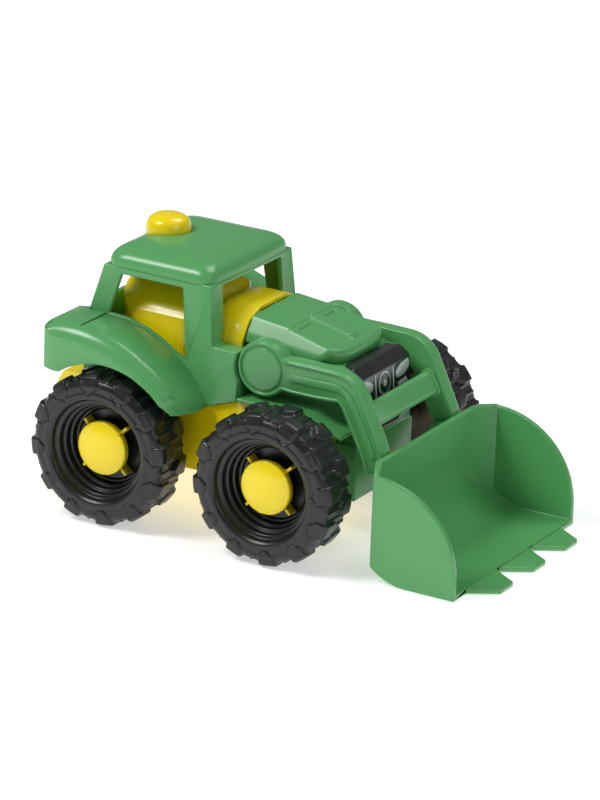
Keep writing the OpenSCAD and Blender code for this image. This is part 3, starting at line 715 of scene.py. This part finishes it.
@dataclass
class Roof:
    """The domed top of the cab, above its crease.

    Attributes:
        crease: height of its lower edge.
        rise: height of the dome over that.
        wall: thickness of the skin at the edge.
        back: X of its rear edge.
        front: X of the middle of its front edge.
        bow: how far that is ahead of the front corners.
        half: half its width.
        corners: how far from each corner its rounding begins, the bowed middle among them.
        hole_r: radius of the push dome's hole.
    """

    crease: float = 103.6
    rise: float = 8.35
    wall: float = 2.4
    back: float = REAR_X - 18.4
    front: float = REAR_X + 34.6
    bow: float = 1.2
    half: float = 33.4
    corners: tuple[float, ...] = (9.0, 7.0, 16.0, 7.0, 9.0)
    hole_r: float = 10.15

    def plan(self, inset: float) -> Array:
        """Plan of the crease: a rectangle with rounded corners and a slightly bowed front.

        Args:
            inset: how far it is drawn in.

        Returns:
            The outline, one row a point.
        """
        back, front, side, half = self.back, self.front, self.front - self.bow, self.half
        square = np.array([[back, -half], [side, -half], [front, 0], [side, half], [back, half]])
        rounded = resample(fillet(square, np.array(self.corners), 12), 1.5)
        return rounded - outward(rounded) * inset

    def ring(self, inset: float, height: float) -> Array:
        """The plan, drawn in by inset, as points at that height."""
        plan = self.plan(inset)
        return np.column_stack([plan, np.full(len(plan), height)])

    def dome(self, inset: float, rise: float, base: float, outwards: bool) -> Array:
        """Rings of the dome: the plan scaled by s, from the crown out, at height rise*(1 - s^4.2)^0.42.

        Args:
            inset: how far the plan is drawn in.
            rise: height of the crown over base.
            base: height of the edge.
            outwards: whether rings run from the crown to the edge.

        Returns:
            Points as rings by plan points by three.
        """
        plan = self.plan(inset)
        s = np.sin(np.linspace(0.02, 1, 40) * math.pi / 2) ** 0.8
        s = s if outwards else s[::-1]
        centre = np.array([REAR_X + 6.0, 0.0])
        flat = centre + (plan - centre)[None] * s[:, None, None]
        height = base + rise * (1 - s**4.2) ** 0.42
        level = np.broadcast_to(height[:, None, None], (*flat.shape[:2], 1))
        return np.concatenate([flat, level], axis=2)

    def build(self) -> bpy.types.Object:
        """Joins the outer and inner domes with a round lip, and cuts the push dome's hole.

        Returns:
            The roof.
        """
        outer = self.dome(0.0, self.rise, self.crease, True)
        lip = np.stack([
            self.ring(inset, self.crease - drop) for inset, drop in ((-0.12, 0.25), (0.1, 0.9), (0.9, 1.15))
        ])
        inner = self.dome(self.wall, self.rise - 2.2, self.crease - 0.9, False)
        rings = np.concatenate([outer, lip, inner])
        n = rings.shape[1]
        points = rings.reshape(-1, 3)
        faces = grid_faces(len(rings), n, False, True)
        faces += [list(range(n)), list(range(len(points) - n, len(points)))[::-1]]
        roof = make_mesh("cab_roof", points, reverse(faces), Body.CHASSIS, GREEN, "green_body", ())
        points, faces = slab(np.array([BUTTON_X, 0.0]) + self.hole_r * circle(64), 96.0, 125.0, 0.01, 2)
        cutter = bpy.data.meshes.new("hole")
        cutter.from_pydata((points * MM).tolist(), [], faces)
        tool = put_in_scene("hole", cutter)
        return cut(roof, tool)


def cut(piece: bpy.types.Object, tool: bpy.types.Object) -> bpy.types.Object:
    """Cuts a tool's shape out of a piece, applies the cut and removes the tool.

    Args:
        piece: the piece.
        tool: object whose shape is taken away.

    Returns:
        The piece.
    """
    change = piece.modifiers.new("cut", "BOOLEAN")
    change.object = tool
    change.operation = "DIFFERENCE"
    change.solver = "EXACT"
    bpy.context.view_layer.update()
    shaped = bpy.data.meshes.new_from_object(piece.evaluated_get(bpy.context.evaluated_depsgraph_get()))
    piece.modifiers.clear()
    piece.data = shaped
    bpy.data.objects.remove(tool)
    return piece


@dataclass
class Cab:
    """The cab: its lower shell with the fenders, the domed roof, and the block of seat and dash.

    Attributes:
        roof: its top.
    """

    roof: Roof = field(default_factory=Roof)

    def build(self) -> None:
        """Builds the shell, the roof and the yellow block inside."""
        top = self.roof.crease - 0.6
        moulded_copy("cab_lower", "cab_shell", Body.CHASSIS, GREEN, 0.5, top)
        self.roof.build()
        moulded_copy("seat_block", "seat_and_dash", Body.CHASSIS, YELLOW, 0.45, flat=48.0)


@dataclass
class Button:
    """The dome that is pushed: near-upright sides that round into an almost flat top.

    Attributes:
        radius: radius of its sides.
        base: height of its lower face.
        top: height of its crown.
        stem: height of the lower end of its stem.
        stem_r: radius of the stem.
        rim: how far the flange round its foot stands out.
        rim_h: height of the flange.
        turns: steps round it.
    """

    radius: float = 9.8
    base: float = 107.5
    top: float = 119.0
    stem: float = 84.2
    stem_r: float = 2.4
    rim: float = 0.3
    rim_h: float = 1.4
    turns: int = 96

    def build(self) -> bpy.types.Object:
        """Turns the closed profile of the dome and its stem round an upright line.

        A point is (x + r cos a, r sin a, z). The profile starts and ends on the axis.

        Returns:
            The dome.
        """
        r, rim_r, rim_top = self.radius, self.radius + self.rim, self.base + self.rim_h
        corners = np.array([
            [0.02, self.stem], [self.stem_r, self.stem], [self.stem_r, self.base], [rim_r, self.base],
            [rim_r, rim_top], [r, rim_top], [r, 113.6], [r - 1.1, 116.6], [r - 4.0, 118.5], [0.02, self.top],
        ])
        rounding = np.array([0.1, 0.4, 0.1, 0.3, 0.3, 0.1, 1.6, 2.6, 2.6, 0.01])
        rr, z = resample(fillet(corners, rounding, 8), 1.2).T
        a = (np.arange(self.turns) / self.turns * TURN)[:, None]
        points = np.stack([BUTTON_X + rr * np.cos(a), rr * np.sin(a), z + 0 * a], axis=-1).reshape(-1, 3)
        faces = reverse(grid_faces(self.turns, len(rr), True, True))
        return make_mesh("push_dome", points, faces, Body.BUTTON, YELLOW, "yellow_trim", ("roof_button",))


@dataclass
class Hood:
    """The engine hood: a height field with a rounded front, a ridge along its middle and two sunk panels.

    Attributes:
        back: X of its rear edge.
        front: X of the middle of its front edge.
        half: half its width.
        nose: how far back the rounding of the front reaches.
        sharp: how sharply its top meets its sides.
        ridge: height of the ridge.
        sunk: depth of the panels.
        roll: radius that its edge rolls down by.
        lip: least thickness of the skin.
    """

    back: float = FRONT_X - 33.0
    front: float = FRONT_X + 10.4
    half: float = 24.0
    nose: float = 13.0
    sharp: float = 3.2
    ridge: float = 1.15
    sunk: float = 0.8
    roll: float = 1.5
    lip: float = 1.2

    def top(self, x: Array, y: Array) -> Array:
        """Height of the skin.

        The crown falls gently to the step and faster after it. The flat top meets bevelled sides in a soft
        minimum, -log(exp(-k a) + exp(-k b)) / k. The ridge adds a smooth bump along the middle, and the
        panels take a smooth step off.

        Args:
            x: X of each point.
            y: Y of each point.

        Returns:
            Z of each point.
        """
        away = np.abs(y)
        crown = np.interp(x, [self.back, FRONT_X - 14, FRONT_X + 4, self.front], [89.4, 87.4, 83.6, 80.8])
        step = 0.55 * soften(FRONT_X - 15.6, FRONT_X - 14.9, x) * soften(FRONT_X + 9, FRONT_X + 3, x)
        crown = crown - 0.003 * away**1.6 - step
        lean = np.interp(x, [self.back, FRONT_X + 4, self.front], [88.6, 85.0, 83.4])
        side = lean - np.maximum(away - 18.4, -9) * 1.42 + 0.6
        k, level = self.sharp, 85
        skin = -np.log(np.exp(-k * crown + k * level) + np.exp(-k * side + k * level)) / k + level
        ridge = soften(3.4, 2.2, away) * soften(FRONT_X - 15.5, FRONT_X - 14.0, x)
        ridge = ridge * soften(FRONT_X + 6.5, FRONT_X + 4.5, x)
        fold = 0.35 * soften(1.2, 0.0, away) * soften(FRONT_X - 14.0, FRONT_X - 15.5, x)
        reach = np.maximum(np.abs(away - 9.8) - 5.2, np.abs(x - (FRONT_X - 5.2)) - 7.6)
        return skin + self.ridge * ridge + fold - self.sunk * soften(0.4, -0.5, reach)

    def build(self) -> bpy.types.Object:
        """Lays the grid over the plan, rolls its edge down to the lip and closes it below.

        Returns:
            The hood.
        """
        u = np.linspace(0, 1, 150)[:, None]
        v = np.linspace(-1, 1, 131)[None, :]
        shape = np.sqrt(np.clip(1 - np.abs(v) ** 3.6, 0, 1))
        nose = self.front - self.nose + self.nose * shape
        x = self.back + (nose - self.back) * u
        y = v * self.half + 0 * u
        z = self.top(x, y)
        rim = np.minimum(np.minimum(nose - x, self.half - np.abs(y)), x - self.back + 3)
        roll = self.roll * (1 - np.sqrt(1 - (1 - np.clip(rim, 0, self.roll) / self.roll) ** 2))
        bottom = np.interp(x, [self.back, FRONT_X - 10, self.front], [83.6, 80.4, 75.6])
        floor = np.minimum(bottom, z - roll - self.lip)
        points = np.stack([np.stack([x, y, z - roll], axis=-1), np.stack([x, y, floor], axis=-1)])
        rows, columns = x.shape
        count = rows * columns
        up = grid_faces(rows, columns, False, False)
        index = np.arange(count).reshape(rows, columns)
        loop = np.concatenate([index[0, :-1], index[:-1, -1], index[-1, :0:-1], index[:0:-1, 0]])
        after = np.roll(loop, -1)
        walls = np.stack([after, loop, loop + count, after + count], axis=1).tolist()
        faces = reverse(up) + [[i + count for i in face] for face in up] + walls
        points = points.reshape(-1, 3)
        return make_mesh("hood_skin", points, faces, Body.CHASSIS, GREEN, "green_body", ("hood",))


@dataclass
class Arm:
    """A lifting arm: a plate with rounded edges, a rim round its outer face and a rib along its middle.

    Attributes:
        side: side of the vehicle.
        node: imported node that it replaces.
        inner: distance of its inner face from the middle of the vehicle.
        outer: distance that its rim, rib and disc stay just inside.
        boss_r: radius of the round end that it turns on.
        slope: angle that its leg goes down at.
        leg: width of the leg.
        leg_l: length of the leg's middle line past the bend.
        bend: radius of the outside of the bend.
        back_r: radius of the round boss behind the plate.
        back: distance of that boss's inner face from the middle.
    """

    side: Side
    node: str
    inner: float = 26.4
    outer: float = 34.0
    boss_r: float = 12.0
    slope: float = math.radians(63.4)
    leg: float = 11.7
    leg_l: float = 26.5
    bend: float = 17.4
    back_r: float = 10.0
    back: float = 24.6

    def middle(self) -> Array:
        """Middle line of the arm, from the boss along the bar, round the bend and down the leg.

        The corners of the line are calmed by a running mean that fades out at its ends.

        Returns:
            Points of (X, Z).
        """
        bar_z = PIVOT[1] - 0.95
        along = np.array([math.cos(self.slope), -math.sin(self.slope)])
        knee = np.array([FRONT_X + 13.0, PIVOT[1] - 11.1])
        out = np.array([math.sin(self.slope), math.cos(self.slope)])
        bend_r = self.bend - self.leg / 2
        a = np.linspace(math.pi / 2, math.pi / 2 - self.slope, 24)
        arc = knee + bend_r * np.stack([np.cos(a), np.sin(a)], axis=1)
        arc[:, 1] += (bar_z - arc[0, 1]) * np.linspace(1, 0, 24) ** 2
        start = np.stack([np.linspace(PIVOT[0], arc[0, 0], 22)[:-1], np.full(21, bar_z)], axis=1)
        leg = knee + out * bend_r + along * np.linspace(0, self.leg_l, 24)[1:, None]
        line = np.concatenate([start, arc, leg])
        window = np.ones(9) / 9
        padded = np.concatenate([np.repeat(line[:1], 4, axis=0), line, np.repeat(line[-1:], 4, axis=0)])
        calm = np.stack([np.convolve(padded[:, i], window, "valid") for i in (0, 1)], axis=1)
        place = np.arange(len(line))
        share = soften(0, 8, np.minimum(place, len(line) - 1 - place))[:, None]
        return line + (calm - line) * share

    def outline(self) -> Array:
        """Closed outline: the boss's circle, then the middle line moved out by half a width to each side.

        Returns:
            Points of (X, Z).
        """
        line = self.middle()
        along = np.gradient(line, axis=0)
        along /= np.linalg.norm(along, axis=1, keepdims=True)
        out = np.stack([-along[:, 1], along[:, 0]], axis=1)
        half = np.interp(np.arange(len(line)), [0, 16, 45, 68], [7.2, 7.2, 5.85, 5.4])[:, None]
        upper, lower = (line + out * half)[9:], (line - out * half)[9:]
        reach = math.asin(7.25 / self.boss_r)
        a = np.linspace(reach - 0.1, TURN - reach - 0.04, 60)
        boss = np.array(PIVOT) + self.boss_r * np.stack([np.cos(a), np.sin(a)], axis=1)
        end = np.array([[40.2, 45.2], [37.75, 39.5], [35.6, 35.9], [31.9, 35.9], [29.75, 39.5]])
        end[:, 0] += FRONT_X
        keep_up = upper[upper[:, 1] > 49.2]
        keep_low = lower[lower[:, 1] > 43.5]
        foot = fillet(end, 1.6, 4)[2:-2]
        return np.concatenate([boss, keep_low, foot[::-1], keep_up[::-1]])

    def band(self, line: Array, half: float, low: float, high: float) -> Shape:
        """A raised band along an open line: its two edges and a round end at each end, as a plate.

        Args:
            line: the line, as points of (X, Z).
            half: half the band's width.
            low: distance of its foot from the middle of the vehicle.
            high: distance of its top.

        Returns:
            Points and faces.
        """
        along = np.gradient(line, axis=0)
        along /= np.linalg.norm(along, axis=1, keepdims=True)
        out = np.stack([-along[:, 1], along[:, 0]], axis=1) * half
        a = np.linspace(0, math.pi, 9)[1:-1]
        turn = np.stack([np.cos(a), np.sin(a)], axis=1)
        head = line[-1] + turn[:, :1] * out[-1] + turn[:, 1:] * along[-1] * half
        tail = line[0] - turn[:, :1] * out[0] - turn[:, 1:] * along[0] * half
        return slab(np.concatenate([line + out, head, (line - out)[::-1], tail]), low, high, 0.45, 4)

    def build(self) -> bpy.types.Object:
        """Joins the plate, the boss behind it, the disc on it, the rib and the rim.

        Returns:
            The arm.
        """
        loop = self.outline()
        foot, top = self.outer - 2.0, self.outer - 0.05
        plate = slab(loop, self.inner, self.outer - 0.9, 0.7)
        behind = slab(np.array(PIVOT) + self.back_r * circle(64), self.back, self.inner + 1.0, 0.5)
        disc = slab(np.array(PIVOT) + (self.boss_r - 2.7) * circle(64), foot, top, 0.8, 6)
        inside = anticlockwise(loop)
        rim = self.ring_band(inside - outward(inside) * 1.15, 0.85)
        line = self.middle()
        rib = self.band(line[line[:, 0] > PIVOT[0] + self.boss_r + 1.2][:-3], 1.55, foot, top)
        shape = joined(*(on_side(part, self.side) for part in (plate, behind, disc, rib, rim)))
        return make_mesh("visual_" + self.node, *shape, Body.LOADER, GREEN, "green_loader", (self.node,))

    def ring_band(self, line: Array, half: float) -> Shape:
        """A raised band with a round top round a closed line.

        Its section is (half*cos a, 0.9*sin a) on a foot sunk in the plate, carried along the line.

        Args:
            line: the line, as points of (X, Z).
            half: half the band's width.

        Returns:
            Points and faces.
        """
        out = outward(line)
        a = np.linspace(0, math.pi, 9)
        across = np.concatenate([half * np.cos(a), [-half, half]])
        height = np.concatenate([self.outer - 0.95 + 0.9 * np.sin(a), [self.outer - 2.0, self.outer - 2.0]])
        plane = line[:, None] + out[:, None] * across[None, :, None]
        level = np.broadcast_to(height[None, :, None], (*plane.shape[:2], 1))
        points = np.concatenate([plane, level], axis=2)
        return points.reshape(-1, 3), grid_faces(len(line), len(across), True, True)


@dataclass
class Loader:
    """The lifting frame: two arms and the crossbar."""

    def build(self) -> None:
        """Builds both arms and the crossbar."""
        Arm(Side.LEFT, "arm_left").build()
        Arm(Side.RIGHT, "arm_right").build()
        moulded_copy("visual_crossbar", "crossbar", Body.LOADER, GREEN, 0.4)


@dataclass
class Bucket:
    """The scoop with its teeth."""

    def build(self) -> None:
        """Builds the scoop."""
        moulded_copy("bucket_scoop", "bucket", Body.BUCKET, GREEN, 0.55)


@dataclass
class Label:
    """The printed nose: black ground, two grey headlamps, thin bright bars and a plain badge.

    A place on it is (Y, run). Run is the height up the nose's two slopes, and past the brow the way back.

    Attributes:
        foot: run at its lower edge.
        bend: run where the upper slope begins.
        brow: run where the flat top begins.
        back: run at its rear edge.
        columns: points across the ground.
        badge: run at the middle of the badge.
    """

    foot: float = 46.4
    bend: float = 71.0
    brow: float = 75.1
    back: float = 80.1
    columns: int = 40
    badge: float = 65.2

    def face(self, plane: Array) -> Array:
        """Takes (Y, run) to the nose.

        Args:
            plane: places, one row each.

        Returns:
            Points (X, Y, Z).
        """
        marks = [self.foot, self.bend, self.brow, self.back]
        x = np.interp(plane[:, 1], marks, [FRONT_X + 21.35, FRONT_X + 19.05, FRONT_X + 15.65, FRONT_X + 10.6])
        z = np.interp(plane[:, 1], marks, [self.foot, self.bend, self.brow, 75.3])
        return np.stack([x, plane[:, 0], z], axis=1)

    def ground(self) -> Shape:
        """The black ground: rows across the nose, each a flat ring that reaches the row's width to each side.

        Returns:
            Points and faces.
        """
        run = np.concatenate([
            np.linspace(self.foot, self.bend, 40), np.linspace(self.bend, self.brow, 12)[1:],
            np.linspace(self.brow, self.back, 12)[1:],
        ])
        width = np.interp(run, [46.4, 47.2, 60, 72, 76, 80.1], [10.2, 11.2, 21.6, 22.0, 19.5, 17.0])
        v = np.linspace(-1, 1, self.columns)
        y = np.concatenate([width[:, None] * v, width[:, None] * v[::-1]], axis=1)
        out = np.concatenate([np.full(self.columns, 0.55), np.full(self.columns, -0.2)])
        out = np.broadcast_to(out, y.shape).ravel()
        around = 2 * self.columns
        along = np.repeat(run, around)
        points = self.face(np.stack([y.ravel(), along], axis=1))
        tilt = np.interp(along, [70.5, 71.5, 74.6, 75.6], [0.09, 0.7, 0.7, 1.48])
        points[:, 0] += out * np.cos(tilt)
        points[:, 2] += out * np.sin(tilt)
        count = len(points)
        ends = [list(range(around)), list(range(count - around, count))]
        return points, grid_faces(len(run), around, False, True) + ends

    def print_on(self, outline: Array, low: float, high: float) -> Shape:
        """A thin plate laid on the nose.

        Args:
            outline: its outline in (Y, run).
            low: distance of its lower face from the nose.
            high: distance of its upper face.

        Returns:
            Points and faces.
        """
        points, faces = slab(resample(outline, 1.0), low, high, min(0.12, (high - low) * 0.3), 3)
        placed = self.face(points[:, :2])
        placed[:, 0] += points[:, 2]
        return placed, faces

    def build(self) -> None:
        """Builds the ground and what is printed on it."""
        make_mesh("nose_label", *self.ground(), Body.CHASSIS, INK, "label", ("grille_label",))
        lamp = np.array([[9.2, 67.0], [13.5, 69.6], [20.6, 70.6], [21.2, 66.8], [16.5, 64.4], [10.4, 64.2]])
        low_lamp = np.array([[10.8, 62.2], [18.6, 63.0], [19.6, 60.0], [13.0, 58.2]])
        bar = np.array([[7.0, 50.0], [7.9, 50.0], [7.9, 70.4], [7.0, 70.4]])
        marks = [fillet(lamp, 1.2, 5), fillet(low_lamp, 1.0, 5), fillet(bar, 0.3, 4)]
        flips = (np.ones(2), np.array([-1.0, 1.0]))
        prints = [self.print_on(mark * flip, 0.45, 0.75) for mark in marks for flip in flips]
        make_mesh("headlamp_print", *joined(*prints), Body.CHASSIS, SILVER, "label", ())
        for name, radius, low, high, finish in (
            ("badge_ring", 4.9, 0.45, 0.8, SILVER),
            ("badge_field", 4.2, 0.7, 0.9, INK),
            ("badge_dot", 1.5, 0.8, 1.0, SILVER),
        ):
            part = self.print_on(np.array([0.0, self.badge]) + radius * circle(72), low, high)
            make_mesh(name, *part, Body.CHASSIS, finish, "label", ())


@dataclass
class Underbody:
    """Chassis, cowl, label, hub caps and the small hardware."""

    def build(self) -> None:
        """Copies the moulded housings with soft edges and dresses the hardware where it stands."""
        spring = moulded_copy("return_spring", "button_spring", Body.CHASSIS, STEEL, 0.0)
        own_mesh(spring)
        moulded_copy("chassis_tub", "chassis", Body.CHASSIS, YELLOW, 0.5)
        moulded_copy("cowl_housing", "front_cowl", Body.CHASSIS, GREEN, 0.5)
        Label().build()
        moulded_copy("door_panel", "battery_door", Body.CHASSIS, YELLOW, 0.3)
        for end, body in (("front", Body.FRONT), ("rear", Body.REAR)):
            for side in ("left", "right"):
                moulded_copy(f"hub_cap_{end}_{side}", f"cap_{end}_{side}", body, YELLOW, 0.5)
        hardware = {
            STEEL: (
                "door_screw", "battery_contacts", "case_screws", "arm_shaft", "bucket_pins",
                "front_axle", "rear_axle",
            ),
            CELL: ("battery_cells",),
            TRIM: ("speaker",),
            BOARD: ("sound_board",),
        }
        for finish, nodes in hardware.items():
            for node in nodes:
                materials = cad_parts[node].data.materials
                materials.clear()
                materials.append(finish.material())


@dataclass
class Studio:
    """Camera, soft lights and a plain pale floor.

    Attributes:
        place: where the camera is, in metres.
        right: direction of the view's right.
        up: direction of its top.
        forward: direction that it looks in.
        lens: focal length in millimetres.
        sensor: longer side of the sensor in millimetres.
        reach: half the width of the floor in metres.
        glow: how much light the floor gives by itself.
    """

    place: tuple[float, float, float] = (0.90865, -1.6264, 0.7206)
    right: tuple[float, float, float] = (0.8645, 0.5013, 0.036)
    up: tuple[float, float, float] = (-0.1992, 0.2761, 0.9402)
    forward: tuple[float, float, float] = (-0.4614, 0.8201, -0.3386)
    lens: float = 212.9
    sensor: float = 36.0
    reach: float = 30.0
    glow: float = 0.5

    def camera(self) -> None:
        """Sets the camera from its three directions."""
        data = bpy.data.cameras.new("camera")
        data.lens, data.sensor_width, data.sensor_fit = self.lens, self.sensor, "AUTO"
        data.clip_start, data.clip_end = 0.05, 40.0
        camera = put_in_scene("camera", data)
        axes = np.array([self.right, self.up, [-c for c in self.forward]]).T
        matrix = Matrix(axes.tolist()).to_4x4()
        matrix.translation = Vector(self.place)
        camera.matrix_world = matrix
        bpy.context.scene.camera = camera

    def light(self, name: str, place: tuple[float, float, float], size: float, power: float) -> None:
        """Hangs a square soft light that looks at the toy's middle.

        Args:
            name: name of the light.
            place: where it hangs, in metres.
            size: length of its side in metres.
            power: its power in watts.
        """
        data = bpy.data.lights.new(name, "AREA")
        data.shape, data.size, data.energy = "SQUARE", size, power
        lamp = put_in_scene(name, data)
        lamp.location = place
        lamp.rotation_mode = "QUATERNION"
        lamp.rotation_quaternion = (Vector((0, 0, 0.05)) - Vector(place)).to_track_quat("-Z", "Y")

    def floor(self) -> None:
        """Lays a wide pale floor with a faint drift in its tone."""
        side = np.linspace(-self.reach, self.reach, 9)
        x, y = np.meshgrid(side, side, indexing="ij")
        points = np.stack([x, y, 0 * x - 0.0002], axis=-1).reshape(-1, 3)
        mesh = bpy.data.meshes.new("studio_floor")
        mesh.from_pydata(points.tolist(), [], reverse(grid_faces(9, 9, False, False)))
        floor = put_in_scene("studio_floor", mesh)
        sheet = Plastic(
            "floor_pale", (0.86, 0.86, 0.86), drift=(0.9, 0.9, 0.9), edge=(0.9, 0.9, 0.9),
            rough=(0.75, 0.9), grain=0.02, grain_scale=300.0, coat=0.0,
        ).material()
        shader = sheet.node_tree.nodes["Principled BSDF"]
        shader.inputs["Emission Color"].default_value = (1, 1, 1, 1)
        shader.inputs["Emission Strength"].default_value = self.glow
        mesh.materials.append(sheet)

    def build(self) -> None:
        """Sets the whole studio."""
        self.camera()
        self.floor()
        world = bpy.data.worlds.new("studio")
        bpy.context.scene.world = world
        world.use_nodes = True
        sky = world.node_tree.nodes["Background"]
        sky.inputs["Color"].default_value = (0.97, 0.98, 1.0, 1)
        sky.inputs["Strength"].default_value = 0.2
        self.light("key", (-0.75, -0.75, 1.35), 0.6, 15.0)
        self.light("fill", (1.5, -0.5, 0.8), 0.7, 3.0)
        self.light("top", (0.25, 0.7, 1.5), 0.8, 9.0)
        bpy.context.scene.view_settings.view_transform = "Standard"


def main() -> None:
    """Builds the toy piece by piece, then the studio."""
    for end, x, body in (("front", FRONT_X, Body.FRONT), ("rear", REAR_X, Body.REAR)):
        for side in Side:
            Wheel(x, side, body, f"wheel_{end}_{side.name.lower()}").build()
    Cab().build()
    Button().build()
    Hood().build()
    Loader().build()
    Bucket().build()
    Underbody().build()
    Studio().build()


if __name__ == "__main__":
    main()
